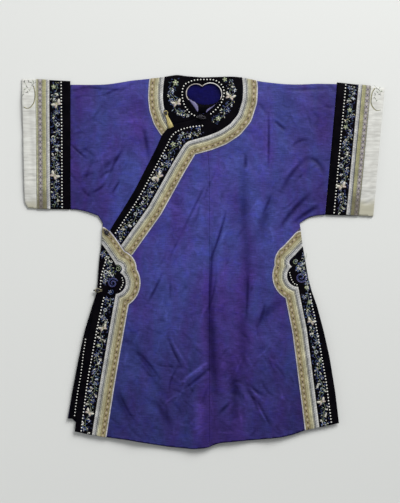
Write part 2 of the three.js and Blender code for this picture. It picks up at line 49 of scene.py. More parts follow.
# The camera comes first: it looks straight down on the laid robe. All of its numbers are millimetres.
view = {"x": -9.1, "y": 29.7, "height": 3454, "lens": 85, "sensor": 36}
cameraData = bpy.data.cameras.new("camera")
cameraData.lens = view["lens"]
cameraData.sensor_width = view["sensor"]
camera = bpy.data.objects.new("camera", cameraData)
camera.location = (view["x"] * mm, view["y"] * mm, view["height"] * mm)
scene.collection.objects.link(camera)
scene.camera = camera


def linear(colour):
    parts = [int(colour[i:i + 2], 16) / 255 for i in (1, 3, 5)]
    return [c / 12.92 if c <= 0.04045 else ((c + 0.055) / 1.055) ** 2.4 for c in parts] + [1.0]


def smoothStep(t):
    t = np.clip(t, 0, 1)
    return t * t * (3 - 2 * t)


# Adds a node with its settings. A value that is a node or socket is linked, any other is set; a list
# of values goes to the first sockets in their order.
def addNode(tree, kind, inputs=(), stops=None, **settings):
    made = tree.nodes.new("ShaderNode" + kind)
    for name, value in settings.items():
        setattr(made, name, value)
    for key, value in inputs.items() if isinstance(inputs, dict) else enumerate(inputs):
        if isinstance(value, bpy.types.Node):
            value = next(socket for socket in value.outputs if socket.enabled)
        if isinstance(value, bpy.types.NodeSocket):
            tree.links.new(value, made.inputs[key])
        else:
            made.inputs[key].default_value = value
    if stops:
        ramp = made.color_ramp
        while len(ramp.elements) < len(stops):
            ramp.elements.new(0.5)
        for element, (place, colour) in zip(ramp.elements, stops):
            element.position = place
            element.color = linear(colour)
    return made


colourA, colourB, colourResult = 6, 7, 2  # places of the colour sockets on a Mix node
multiply = {"data_type": "RGBA", "blend_type": "MULTIPLY"}


# Starts a material and returns it, its tree and its shader with the constant sockets set
def newMaterial(name, **constants):
    made = bpy.data.materials.new(name)
    made.use_nodes = True
    tree = made.node_tree
    shader = tree.nodes["Principled BSDF"]
    for key, value in constants.items():
        socket = " ".join("IOR" if word == "ior" else word.capitalize() for word in key.split("_"))
        shader.inputs[socket].default_value = value
    return made, tree, shader


# Ends a material: its colour times each shade, and bumps one over another (height, strength, depth in mm)
def finishMaterial(tree, shader, colour, shades, bumps):
    for shade in shades:
        colour = addNode(tree, "Mix", {0: 1.0, colourA: colour, colourB: shade}, **multiply)
    tree.links.new(colour.outputs[colourResult], shader.inputs["Base Color"])
    under = {}
    for height, strength, depth in bumps:
        bump = addNode(tree, "Bump", {"Height": height, "Strength": strength, "Distance": depth * mm, **under})
        under = {"Normal": bump}
    tree.links.new(bump.outputs[0], shader.inputs["Normal"])


def newObject(name, vertices, faces, materials, faceMaterials=None, body="root"):
    mesh = bpy.data.meshes.new(name)
    mesh.from_pydata([tuple(v) for v in vertices], [], [tuple(f) for f in faces])
    for entry in materials:
        mesh.materials.append(entry)
    if faceMaterials is not None:
        mesh.polygons.foreach_set("material_index", np.asarray(faceMaterials, np.int32))
    mesh.polygons.foreach_set("use_smooth", [True] * len(mesh.polygons))
    mesh.update()
    made = bpy.data.objects.new(name, mesh)
    scene.collection.objects.link(made)
    if body:
        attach(made, body)
    return made


def readMesh(node):
    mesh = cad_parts[node].data
    mesh.calc_loop_triangles()
    points = np.empty(len(mesh.vertices) * 3, np.float32)
    mesh.vertices.foreach_get("co", points)
    triangles = np.empty(len(mesh.loop_triangles) * 3, np.int32)
    mesh.loop_triangles.foreach_get("vertices", triangles)
    points, same = np.unique(points.reshape(-1, 3), axis=0, return_inverse=True)
    return points.astype(float), same.reshape(-1)[triangles].reshape(-1, 3)


def topFaces(node, floorHeight=-1.0):
    points, triangles = readMesh(node)
    a, b, c = (points[triangles[:, k]] for k in range(3))
    normal = np.cross(b - a, c - a)
    normal /= np.maximum(np.linalg.norm(normal, axis=1), 1e-15)[:, None]
    up = (normal[:, 2] > 0.3) & ((a + b + c)[:, 2] / 3 > floorHeight)
    return points, triangles[up]


def crossed(a, b):
    return a[..., 0] * b[..., 1] - a[..., 1] * b[..., 0]


smallestLoop = 6 * mm * mm
frontFloor = 2.5 * mm  # faces that look up from lower than this belong to the back half of a tube


def boundaryLoops(points, triangles):
    pairs = np.concatenate([triangles[:, [0, 1]], triangles[:, [1, 2]], triangles[:, [2, 0]]])
    directed = {(int(a), int(b)) for a, b in pairs}
    following = {}
    for a, b in sorted(directed):
        if (b, a) not in directed:
            following.setdefault(a, []).append(b)
    loops = []
    while following:
        start = next(iter(following))
        loop, at = [start], start
        while at in following:
            onward = following[at].pop()
            if not following[at]:
                del following[at]
            if onward == start:
                break
            loop.append(onward)
            at = onward
        loop = points[loop, :2]
        area = 0.5 * np.sum(crossed(loop, np.roll(loop, -1, axis=0)))
        if len(loop) > 2 and abs(area) > smallestLoop:
            loops.append(loop)
    return loops


def outlineOf(node, floorHeight=-1.0):
    return boundaryLoops(*topFaces(node, floorHeight))


trueCorner = 33  # degrees


# Loop with even spacing: true corners stay, slight ones are rounded off
def evenLoop(loop, spacing):
    kept = [loop[0]]
    for point in loop[1:]:
        if np.hypot(*(point - kept[-1])) > 0.4 * mm:
            kept.append(point)
    loop = np.array(kept)
    before, after = np.roll(loop, 1, axis=0), np.roll(loop, -1, axis=0)
    cross = crossed(after - before, loop - before)
    bent = np.abs(cross) / np.maximum(np.hypot(*(after - loop).T) * np.hypot(*(loop - before).T), 1e-12)
    loop = loop[bent > 0.002]
    before, after = np.roll(loop, 1, axis=0), np.roll(loop, -1, axis=0)
    inward, outward = loop - before, after - loop
    turn = np.arctan2(crossed(inward, outward), (inward * outward).sum(1))
    isCorner = np.abs(np.degrees(turn)) > trueCorner
    if not isCorner.any():
        isCorner[0] = True
    first = int(np.argmax(isCorner))
    loop, isCorner = np.roll(loop, -first, axis=0), np.roll(isCorner, -first)
    even, pinned = [], []
    stops = list(np.flatnonzero(isCorner)) + [len(loop)]
    closed = np.concatenate([loop, loop[:1]])
    for start, stop in zip(stops, stops[1:]):
        part = closed[start:stop + 1]
        steps = np.hypot(*np.diff(part, axis=0).T)
        length = np.concatenate([[0], np.cumsum(steps)])
        count = max(1, int(round(length[-1] / spacing)))
        at = np.linspace(0, length[-1], count + 1)[:-1]
        even.append(np.stack([np.interp(at, length, part[:, k]) for k in (0, 1)], axis=1))
        pinned += [True] + [False] * (count - 1)
    even, pinned = np.concatenate(even), np.array(pinned)
    for _ in range(4):
        eased = 0.5 * even + 0.25 * (np.roll(even, 1, axis=0) + np.roll(even, -1, axis=0))
        even = np.where(pinned[:, None], even, eased)
    return even


def segmentsOf(loops, closed=True):
    starts = np.concatenate([loop if closed else loop[:-1] for loop in loops])
    ends = np.concatenate([np.roll(loop, -1, axis=0) if closed else loop[1:] for loop in loops])
    return starts, ends


mostPairs = 3000000  # pairs of point and segment taken at a time


# Distance from each point to the nearest segment, and the place on that segment
def nearestOn(points, starts, ends):
    along = ends - starts
    squared = np.maximum((along ** 2).sum(1), 1e-18)
    distance, index, place = [], [], []
    for chunk in np.array_split(points, max(1, len(points) * len(starts) // mostPairs)):
        offset = chunk[:, None, :] - starts[None]
        t = np.clip((offset * along[None]).sum(2) / squared, 0, 1)
        gap = offset - t[..., None] * along[None]
        gap = np.sqrt((gap ** 2).sum(2))
        nearest = gap.argmin(1)
        rows = np.arange(len(chunk))
        distance.append(gap[rows, nearest])
        index.append(nearest)
        place.append(t[rows, nearest])
    return np.concatenate(distance), np.concatenate(index), np.concatenate(place)


def insideLoops(points, loops):
    starts, ends = segmentsOf(loops)
    inside = np.zeros(len(points), bool)
    for chunkIndex in np.array_split(np.arange(len(points)), max(1, len(points) * len(starts) // mostPairs)):
        x, y = points[chunkIndex, 0][:, None], points[chunkIndex, 1][:, None]
        spans = (starts[None, :, 1] > y) != (ends[None, :, 1] > y)
        rise = np.where(spans, ends[None, :, 1] - starts[None, :, 1], 1.0)
        crossing = starts[None, :, 0] + (y - starts[None, :, 1]) / rise * (ends - starts)[None, :, 0]
        inside[chunkIndex] = (spans & (x < crossing)).sum(1) % 2 == 1
    return inside


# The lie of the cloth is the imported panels' own heights, softened, with creases added

fieldGrid = {"step": 5 * mm, "halfX": 0.56, "halfY": 0.575, "soften": 13 * mm}
fieldNodes = {
    "inner": ["front_inner", "sleeve_right_satin", "cuff_right", "sleeve_left_satin", "cuff_left"],
    "outer": ["front_overlap", "front_left", "sleeve_left_satin", "cuff_left"],
}


def gridLines(grid):
    return [np.arange(-grid[half], grid[half], grid["step"]) for half in ("halfX", "halfY")]


def blurred(grid, sigma):
    reach = int(3 * sigma) + 1
    weights = np.exp(-0.5 * (np.arange(-reach, reach + 1) / sigma) ** 2)
    for axis in (0, 1):
        total = np.zeros_like(grid)
        for shift, weight in zip(range(-reach, reach + 1), weights):
            total += weight * np.roll(grid, shift, axis=axis)
        grid = total
    return grid


def heightField(nodes):
    points, triangles, count = [], [], 0
    for node in nodes:
        nodePoints, nodeTriangles = topFaces(node, frontFloor)
        points.append(nodePoints)
        triangles.append(nodeTriangles + count)
        count += len(nodePoints)
    tree = BVHTree.FromPolygons(np.concatenate(points).tolist(), np.concatenate(triangles).tolist())
    xs, ys = gridLines(fieldGrid)
    field, weight = np.zeros((len(xs), len(ys))), np.zeros((len(xs), len(ys)))
    down = Vector((0, 0, -1))
    for i, x in enumerate(xs):
        for j, y in enumerate(ys):
            hit = tree.ray_cast(Vector((x, y, 0.2)), down)[0]
            if hit is not None:
                field[i, j], weight[i, j] = hit.z, 1.0
    sigma = fieldGrid["soften"] / fieldGrid["step"]
    weighed = blurred(weight, sigma)
    soft = blurred(field * weight, sigma) / np.maximum(weighed, 1e-9)
    return np.where(weighed > 1e-3, soft, field[weight > 0].mean())


fields = {layer: heightField(nodes) for layer, nodes in fieldNodes.items()}
print("height fields read")


def between(a, b, c, d, s, t):
    low, high = a * (1 - s) + b * s, c * (1 - s) + d * s
    return low * (1 - t) + high * t


# Value of a grid at places between its points
def gridAt(values, grid, x, y):
    u = np.clip((x + grid["halfX"]) / grid["step"], 0, values.shape[0] - 1.001)
    v = np.clip((y + grid["halfY"]) / grid["step"], 0, values.shape[1] - 1.001)
    i, j = u.astype(int), v.astype(int)
    return between(values[i, j], values[i + 1, j], values[i, j + 1], values[i + 1, j + 1], u - i, v - j)


# Soft bumps on a lattice of the given size, the same each run
def softNoise(x, y, size, seed, side=96):
    lattice = np.random.default_rng(seed).standard_normal((side, side))
    u, v = x / size + 40.3, y / size + 40.7
    i, j = np.floor(u).astype(int), np.floor(v).astype(int)
    corners = [lattice[(i + a) % side, (j + b) % side] for a, b in ((0, 0), (1, 0), (0, 1), (1, 1))]
    return between(*corners, smoothStep(u - i), smoothStep(v - j))


# Creases, in millimetres: from, by way of, to (x, y each), width, depth (a ridge is above 0)
creases = [
    (26, 60, 22, -120, 20, -330, 13, -1.0), (22, -140, 30, -280, 34, -400, 15, -1.5),
    (27, 50, 22, -40, 18, -150, 4, -1.6), (66, 146, 46, 74, 21, 4, 3.4, -2.4), (38, -20, 30, -90, 8, -150, 3.4, -1.2),
    (116, 324, 117, 180, 120, 60, 14, -0.9), (125, 92, 127, -60, 122, -130, 12, -1.1),
    (130, -40, 128, -110, 124, -170, 3.6, -1.5), (120, -120, 116, -230, 116, -340, 15, -1.2),
    (198, 204, 180, 132, 160, 62, 15, -1.3), (196, 190, 186, 166, 170, 132, 4, -1.2),
    (189, 434, 190, 350, 188, 272, 3, -2.2), (206, 411, 222, 396, 240, 382, 5, -1.7),
    (121, 312, 123, 290, 120, 270, 5, -1.8), (2, 214, -22, 166, -66, 76, 3.4, -1.6),
    (-66, 76, -84, 40, -100, 6, 3.4, -0.9), (-118, -34, -138, -76, -162, -122, 4, -1.7),
    (36, 262, 14, 214, 2, 180, 3.4, -1.0), (-102, -221, -82, -268, -60, -308, 3.8, -2.1),
    (-90, -224, -72, -262, -50, -296, 3.2, 1.2), (-70, -300, -92, -340, -98, -376, 3.4, -1.3),
    (-50, -330, -60, -372, -84, -408, 3.2, 1.0), (-66, -352, -26, -322, 14, -291, 5, 3.0),
    (-54, -368, -16, -338, 22, -306, 5, -2.1), (158, -186, 190, -142, 228, -118, 12, -1.4),
    (180, -118, 172, -150, 159, -186, 4.4, -1.5), (-212, -233, -160, -310, -114, -390, 13, -1.0),
    (-258, -349, -238, -410, -212, -466, 11, -1.0), (-188, -262, -150, -304, -118, -352, 3.6, -1.3),
    (-200, -268, -166, -308, -130, -352, 3.2, 1.0), (-244, -372, -222, -424, -196, -462, 3.6, -1.2),
    (-116, -420, -96, -398, -66, -384, 3.2, 1.2), (158, -407, 178, -444, 194, -474, 4, -1.5),
    (150, -402, 170, -440, 188, -472, 3.2, 1.3), (126, -344, 150, -382, 176, -404, 3.2, 1.2),
    (196, -236, 176, -262, 150, -282, 3.4, 1.0), (206, -392, 184, -372, 168, -340, 3.4, -1.1),
    (182, -268, 196, -300, 212, -326, 4, -1.3), (176, -262, 190, -292, 204, -318, 3.2, 1.1),
    (124, -350, 152, -374, 178, -388, 5, -1.8), (122, -360, 144, -396, 160, -430, 5, -1.6),
    (43, -442, 62, -424, 78, -408, 5, -2.2), (86, -300, 92, -390, 84, -480, 14, -1.2),
    (-20, -400, -12, -450, -22, -520, 16, 1.5), (-160, -400, -120, -430, -90, -490, 13, -1.2),
    (-272, 250, -254, 292, -230, 330, 4.2, -2.0), (-298, 262, -270, 288, -240, 306, 8, -1.5),
    (-300, 240, -286, 256, -258, 268, 3.6, -1.5), (-330, 196, -300, 212, -286, 226, 4, -2.0),
    (-352, 214, -338, 196, -324, 190, 4, -1.4), (-272, 196, -256, 214, -242, 234, 4, -1.3),
    (-389, 345, -364, 321, -336, 298, 3, -2.4), (-350, 332, -330, 318, -310, 300, 3.4, -1.0),
    (-388, 262, -372, 240, -350, 226, 4, -1.2), (-392, 494, -366, 500, -326, 508, 3.2, -1.3),
    (-376, 470, -350, 480, -300, 478, 3, -0.8), (-294, 481, -270, 492, -246, 502, 4, -1.8),
    (-343, 509, -290, 502, -227, 499, 3, -1.7), (-176, 392, -166, 350, -160, 300, 7, -1.6),
    (258, 110, 296, 138, 333, 162, 6, -2.5), (222, 96, 262, 150, 310, 196, 7, -2.3),
    (228, 210, 262, 262, 300, 298, 7, -1.8), (236, 500, 300, 500, 372, 504, 4, -1.7),
    (300, 300, 330, 290, 352, 250, 7, -1.6), (258, 330, 280, 350, 306, 352, 5, -1.6),
    (214, 40, 236, -10, 240, -60, 7, -1.8), (-430, 480, -432, 440, -428, 400, 14, 0.8),
    (-510, 470, -500, 330, -496, 210, 7, -1.4), (500, 470, 490, 330, 478, 200, 7, -1.0),
    (-513, 279, -500, 276, -487, 281, 4, -1.3), (-513, 246, -500, 249, -486, 244, 4, -1.5),
    (-511, 234, -498, 236, -486, 233, 4, -1.1), (478, 262, 490, 280, 506, 296, 5, -1.2),
    (469, 222, 482, 232, 499, 250, 5, -1.4), (463, 196, 476, 200, 494, 212, 4, -1.3),
    (458, 174, 474, 178, 494, 188, 4, 1.2), (458, 166, 474, 170, 492, 176, 4, -1.2),
]


# Small creases fill these zones: centre, half size, how many, which way they run (degrees) and how evenly
creaseZones = [
    ((-310, 255), (95, 115), 34, 52, 20),
    ((-300, 440), (90, 80), 14, 12, 25),
    ((290, 165), (100, 110), 30, 38, 24),
    ((270, 400), (120, 110), 20, -38, 32),
    ((-150, -330), (120, 175), 60, -52, 30),
    ((15, -370), (90, 150), 38, 48, 40),
    ((175, -320), (110, 180), 64, -48, 32),
    ((70, 60), (210, 150), 22, 80, 26),
    ((-60, -60), (130, 140), 18, 62, 24),
    ((-505, 340), (14, 160), 12, 40, 60),
    ((497, 300), (14, 160), 16, 40, 50),
]


def smallCreases(seed):
    random = np.random.default_rng(seed)
    made = []
    for (x, y), (halfX, halfY), count, lean, spread in creaseZones:
        for _ in range(count):
            cx, cy = x + random.uniform(-halfX, halfX), y + random.uniform(-halfY, halfY)
            turn, long = math.radians(random.normal(lean, spread)), random.uniform(9, 34)
            step, bow = np.array((math.cos(turn), math.sin(turn))) * long, random.uniform(-0.18, 0.18) * long
            centre = np.array((cx, cy))
            middle = centre + bow * np.array((-math.sin(turn), math.cos(turn)))
            width, depth = random.uniform(2.2, 4.8), random.uniform(-1.1, 0.85)
            made.append((*(centre - step), *middle, *(centre + step), width, depth))
    return made


creaseGrid = {"step": 2 * mm, "halfX": 0.54, "halfY": 0.56}


def creaseField():
    xs, ys = gridLines(creaseGrid)
    total = np.zeros((len(xs), len(ys)))
    t = np.linspace(0, 1, 13)[:, None]
    for *places, width, depth in creases + smallCreases(31):
        p0, p1, p2 = np.array(places).reshape(3, 2) * mm
        line = (1 - t) ** 2 * p0 + 2 * t * (1 - t) * (2 * p1 - (p0 + p2) / 2) + t ** 2 * p2
        reach = 3 * width * mm
        i0, i1 = np.searchsorted(xs, (line[:, 0].min() - reach, line[:, 0].max() + reach))
        j0, j1 = np.searchsorted(ys, (line[:, 1].min() - reach, line[:, 1].max() + reach))
        gridX, gridY = np.meshgrid(xs[i0:i1], ys[j0:j1], indexing="ij")
        if not gridX.size:
            continue
        distance, index, place = nearestOn(np.stack([gridX.ravel(), gridY.ravel()], axis=1), line[:-1], line[1:])
        run = (index + place) / (len(t) - 1)
        taper = np.sin(np.pi * np.clip(0.04 + 0.92 * run, 0, 1)) ** 0.8
        side = (distance / (width * mm)) ** 2
        shape = depth * mm * taper * (1.35 * np.exp(-side) - 0.35 * np.exp(-side / 4))
        total[i0:i1, j0:j1] += shape.reshape(gridX.shape)
    return total


creaseRelief = creaseField()
print("creases set")


# Soft waves of the cloth, broad to fine: height, lean, size, seed
clothWaves = [(0.7, 0.0, 62, 3), (0.42, 0.4, 26, 4), (0.2, -0.3, 12, 5)]


# Height of the top side of a panel
def panelTop(layer, x, y):
    base = gridAt(fields[layer], fieldGrid, x, y)
    free = smoothStep((base - 3.7 * mm) / (4 * mm))
    waves = sum(high * softNoise(x + lean * y, y, size * mm, seed) for high, lean, size, seed in clothWaves)
    return base + free * (gridAt(creaseRelief, creaseGrid, x, y) + waves * mm)


backSegments = segmentsOf(outlineOf("back_panel"))


def flatMesh(loops, spacing, rounding):
    even = [evenLoop(loop, 0.85 * spacing) for loop in loops]
    edges, normals, count = [], [], 0
    for loop in even:
        size = len(loop)
        edges += [(count + k, count + (k + 1) % size) for k in range(size)]
        tangent = np.roll(loop, -1, axis=0) - np.roll(loop, 1, axis=0)
        tangent /= np.maximum(np.hypot(*tangent.T), 1e-12)[:, None]
        normals.append(np.stack([-tangent[:, 1], tangent[:, 0]], axis=1))
        count += size
    rim, normals = np.concatenate(even), np.concatenate(normals)
    starts, ends = segmentsOf(even)
    ring = rim + rounding * normals
    low, high = rim.min(0), rim.max(0)
    rows = np.arange(low[1], high[1], spacing * 0.866)
    columns = np.arange(low[0], high[0], spacing)
    gridX, gridY = np.meshgrid(columns, rows)
    gridX = gridX + (np.arange(len(rows)) % 2)[:, None] * spacing / 2
    inner = np.stack([gridX.ravel(), gridY.ravel()], axis=1)
    inner = inner[insideLoops(inner, even)]
    inner = inner[nearestOn(inner, starts, ends)[0] > rounding + 0.45 * spacing]
    ring = ring[insideLoops(ring, even)]
    ring = ring[nearestOn(ring, starts, ends)[0] > 0.8 * rounding]
    points = np.concatenate([rim, ring, inner])
    made = delaunay_2d_cdt([Vector(p) for p in points], edges, [], 0, 1e-7, True)
    flat = np.array([(v.x, v.y) for v in made[0]])
    onRim = np.array([any(k < count for k in ids) or not ids for ids in made[3]])
    triangles = np.array([f for f in made[2] if len(f) == 3])
    a, b, c = (flat[triangles[:, k]] for k in range(3))
    turn = crossed(b - a, c - a)
    triangles[turn < 0] = triangles[turn < 0][:, ::-1]
    triangles = triangles[(np.abs(turn) > 1e-12) & insideLoops((a + b + c) / 3, even)]
    return flat, triangles, onRim


# Closes a flat mesh into a shell: the rim is shared by the upper and the lower skin
def shell(flat, triangles, onRim, top, bottom, rimHeight):
    used = np.unique(triangles)
    renumber = np.full(len(flat), -1)
    renumber[used] = np.arange(len(used))
    flat, triangles, onRim = flat[used], renumber[triangles], onRim[used]
    top, bottom, rimHeight = top[used], bottom[used], rimHeight[used]
    upper = np.column_stack([flat, np.where(onRim, rimHeight, top)])
    inside = np.flatnonzero(~onRim)
    below = np.arange(len(flat))
    below[inside] = len(flat) + np.arange(len(inside))
    lower = np.column_stack([flat[inside], bottom[inside]])
    return np.concatenate([upper, lower]), np.concatenate([triangles, below[triangles][:, ::-1]])


def planArea(flat, triangles):
    a, b, c = (flat[triangles[:, k]] for k in range(3))
    return 0.5 * np.abs(crossed(b - a, c - a)).sum()


def pieceName(node):
    words = node.split("_")
    return words[0] + "".join(w.capitalize() for w in words[1:])


# Smallest rectangle round the outline
def cutSize(flat):
    best = None
    for degrees in range(0, 90, 3):
        turn = math.radians(degrees)
        spread = [np.ptp(flat @ np.array(axis)) for axis in
                  ((math.cos(turn), math.sin(turn)), (-math.sin(turn), math.cos(turn)))]
        if best is None or spread[0] * spread[1] < best[0] * best[1]:
            best = spread
    return best


pieces = {}
readings = {}
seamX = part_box("front_overlap")[1].x  # the seam down the middle of the outer front


edgeShadePlaces = {"skirtTop": -440, "sleeveTop": 60, "sleeveFrom": 225}  # where the free edges get painted shade, in millimetres


# Cloth piece that stands for a node. "lift" is how far its top stands over its panel's top.
def layCloth(node, layer, material, slot, spacing, lift=0.0, thickness=1.4, tube=False, joined=False):
    loops = outlineOf(node, frontFloor if tube else -1.0)
    rounding = min(0.9 * mm, 0.3 * spacing * mm)
    flat, triangles, onRim = flatMesh(loops, spacing * mm, rounding)
    x, y = flat[:, 0], flat[:, 1]
    if layer == "table":
        top = np.full(len(flat), 1.5 * mm)
    else:
        top = panelTop(layer, x, y) + lift * mm
    bottom = top - thickness * mm
    rim = (top + bottom) / 2
    if joined:  # the edge goes down to the back, as a fold or a seam does
        atBack = nearestOn(flat, *backSegments)[0] < 1.6 * mm
        rim = np.where(atBack & (y > -90 * mm), 1.0 * mm, rim)
    if tube:
        starts, ends = segmentsOf([evenLoop(loop, 3 * mm) for loop in loops])
        _, index, _ = nearestOn(flat, starts, ends)
        run = (ends - starts)[index]
        folded = np.abs(run[:, 0]) > 2.2 * np.abs(run[:, 1])
        rim = np.where(folded, 0.8 * mm, rim)
    if node in ("front_overlap", "front_left"):
        other = "front_left" if node == "front_overlap" else "front_overlap"
        atSeam = nearestOn(flat, *segmentsOf(outlineOf(other)))[0] < 1.5 * mm
        rim = np.where(atSeam, top - 0.12 * mm, rim)
    vertices, faces = shell(flat, triangles, onRim, top, bottom, rim)
    area = planArea(flat, triangles)
    if tube:
        level = np.full(len(flat), 1.2 * mm)
        under, underFaces = shell(flat, triangles, onRim, level, level * 0, level * 0.6)
        faces = np.concatenate([faces, underFaces + len(vertices)])
        vertices = np.concatenate([vertices, under])
        area *= 2
    made = newObject(pieceName(node), vertices, faces, [material])
    if slot == "silk":
        u, v = vertices[:, 0], vertices[:, 1]
        relief = 0 * u
        if layer != "table":
            waves = panelTop(layer, u, v) - gridAt(fields[layer], fieldGrid, u, v)
            relief = gridAt(creaseRelief, creaseGrid, u, v) + 0.35 * waves
        # Painted shade and highlight from the creases: 0 is dark in a trough, 1 is pale on a ridge
        paintedShading = np.clip(0.5 + relief / (9 * mm), 0, 1)
        shadedEdge = nearestOn(vertices[:, :2], *segmentsOf([evenLoop(loop, 3 * mm) for loop in loops]))[0] < 1.1 * mm
        atSkirt = (v < edgeShadePlaces["skirtTop"] * mm) & (np.abs(u - seamX) > 4 * mm)
        atSleeve = (v < edgeShadePlaces["sleeveTop"] * mm) & (np.abs(u) > edgeShadePlaces["sleeveFrom"] * mm)
        shadedEdge &= atSkirt | atSleeve
        # Painted shade: the free edges of the skirt and the sleeves are set darkest
        paintedShading[shadedEdge] = 0.0
        made.data.attributes.new("paintedShading", "FLOAT", "POINT").data.foreach_set("value", paintedShading)
    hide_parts(node)
    pieces[node] = made
    readings[node] = {"area": area, "cut": cutSize(flat[onRim]), "tube": tube}


# A ribbon's own map: how far along it a point is, and how far across from its black edge
def mapRibbon(node, line, closed, widthBefore=0.0):
    made = pieces[node]
    starts, ends = segmentsOf([line], closed)
    lengths = np.hypot(*(ends - starts).T)
    before = np.concatenate([[0], np.cumsum(lengths)[:-1]])
    points = np.array([v.co[:2] for v in made.data.vertices])
    across, index, place = nearestOn(points, starts, ends)
    along = before[index] + place * lengths[index]
    layer = made.data.uv_layers.new(name="ribbonMap")
    corners = np.empty(len(made.data.loops), np.int32)
    made.data.loops.foreach_get("vertex_index", corners)
    values = np.column_stack([along, across - widthBefore * mm])[corners]
    layer.data.foreach_set("uv", values.ravel())


# Silk satin damask, reactive to light: dyed in the piece, blue that goes to violet where it faded
silkLook = {
    "fadeSize": 0.14, "cloudSize": 0.022, "crumpleSize": 0.02, "middle": 0.04,  # metres
    "slubWidth": 2.0, "slubLength": 22, "weave": 3.0,  # millimetres
    # Colours of the painted crease shade and highlight, from dark to pale
    "wear": [(0.0, "#423A58"), (0.25, "#766D8C"), (0.5, "#C0C0C6"), (0.74, "#FFFFFF")],
}


def silkMaterial(name, blue, violet, deep, light, gloss):
    look = silkLook
    made, tree, shader = newMaterial(
        name, roughness=0.5, ior=1.5, sheen_weight=0.4 * gloss, sheen_roughness=0.4, specular_ior_level=gloss)
    shader.inputs["Sheen Tint"].default_value = linear("#8D8AD8")
    spot = addNode(tree, "TexCoord").outputs["Object"]
    place = addNode(tree, "SeparateXYZ", [spot])
    x, rise = place.outputs["X"], place.outputs["Y"]
    upright = addNode(tree, "Mapping", {"Vector": spot, "Scale": (1.7, 0.6, 1.0)})
    patches = {"Vector": upright, "Scale": 1 / look["fadeSize"], "Detail": 3, "Roughness": 0.6}
    faded = addNode(tree, "TexNoise", patches)
    lowFade = addNode(tree, "MapRange", [rise, -0.45, 0.1, 0.05, -0.03])
    # The dye is fuller and more violet along the sleeve borders, and down the middle of the skirt
    reach = addNode(tree, "Math", [x], operation="ABSOLUTE")
    sleeveFade = addNode(tree, "MapRange", [reach, 0.26, 0.4, 0.0, 0.17])
    for more in (lowFade, sleeveFade):
        faded = addNode(tree, "Math", [faded, more], operation="ADD")
    side = addNode(tree, "Math", [x, look["middle"]], operation="SUBTRACT")
    away = addNode(tree, "Math", [side], operation="ABSOLUTE")
    middle = addNode(tree, "MapRange", [away, 0.02, 0.17, 0.14, -0.06])
    below = addNode(tree, "MapRange", [rise, -0.3, 0.0, 1.0, 0.0])
    faded = addNode(tree, "Math", [middle, below, faded], operation="MULTIPLY_ADD")
    fadeRamp = addNode(tree, "ValToRGB", [faded], stops=[(0.38, blue), (0.68, violet)])
    # The wear goes in short clouds along the warp, a few centimetres long
    warp = addNode(tree, "Mapping", {"Vector": spot, "Scale": (0.75, 0.9, 1.0)})
    clouds = {"Vector": warp, "Scale": 1 / look["cloudSize"], "Detail": 4, "Roughness": 0.62, "Distortion": 0.6}
    cloud = addNode(tree, "TexNoise", clouds)
    cloudRamp = addNode(tree, "ValToRGB", [cloud], stops=[(0.3, deep), (0.5, "#808080"), (0.72, light)])
    mixed = addNode(
        tree, "Mix", {0: 0.25, colourA: fadeRamp, colourB: cloudRamp}, data_type="RGBA", blend_type="OVERLAY")
    # Painted shade: the cloth is darker toward the hem, where the light falls off, and it is also darker by the
    # sleeve borders
    hemShade = addNode(tree, "MapRange", [rise, -0.4, 0.02, 0.62, 0.98])
    sleeveShade = addNode(tree, "MapRange", [reach, 0.19, 0.37, 1.0, 0.78])
    # Threads: 0.1 mm apart in the cloth, drawn 2 mm apart so that they show
    narrow, long, weave = (1000 / look[key] for key in ("slubWidth", "slubLength", "weave"))
    noises = []
    for scale in ((narrow, long, 1), (long, weave, 1)):
        drawn = addNode(tree, "Mapping", {"Vector": spot, "Scale": scale})
        noises.append(addNode(tree, "TexNoise", {"Vector": drawn, "Scale": 1.0, "Detail": 2, "Roughness": 0.6}))
    threads = addNode(tree, "Math", [noises[1], 2.0, noises[0]], operation="MULTIPLY_ADD")
    threadShade = addNode(tree, "MapRange", [threads, 1.1, 1.9, 0.8, 1.2])
    # Painted shade and highlight: the colour goes dark in the crease troughs and along the shaded free edges, and
    # pale on the ridges
    paintedShading = addNode(tree, "Attribute", attribute_name="paintedShading")
    wear = addNode(tree, "ValToRGB", [paintedShading], stops=look["wear"])
    crumples = {"Vector": warp, "Scale": 1 / look["crumpleSize"], "Detail": 3, "Roughness": 0.55, "Distortion": 1.3}
    crumple = addNode(tree, "TexNoise", crumples)
    # Painted shade and highlight: the colour darkens and lightens with the crumple noise that also bumps the cloth
    fine = addNode(tree, "MapRange", [crumple, 0.35, 0.65, 0.86, 1.13])
    finishMaterial(tree, shader, mixed, [hemShade, sleeveShade, threadShade, wear, fine],
                   [(crumple, 0.55, 2.2), (threads, 0.35, 0.3)])
    return made


silk = silkMaterial("indigoSilkDamask", "#535BAE", "#5A44A0", "#201D52", "#6A74C6", 0.1)
# Painted shade: the back's silk is made far darker than the front's, for the shade inside the neck opening
shadedBackSilk = silkMaterial("indigoSilkBackShaded", "#131160", "#130D4C", "#060520", "#19186C", 0.05)


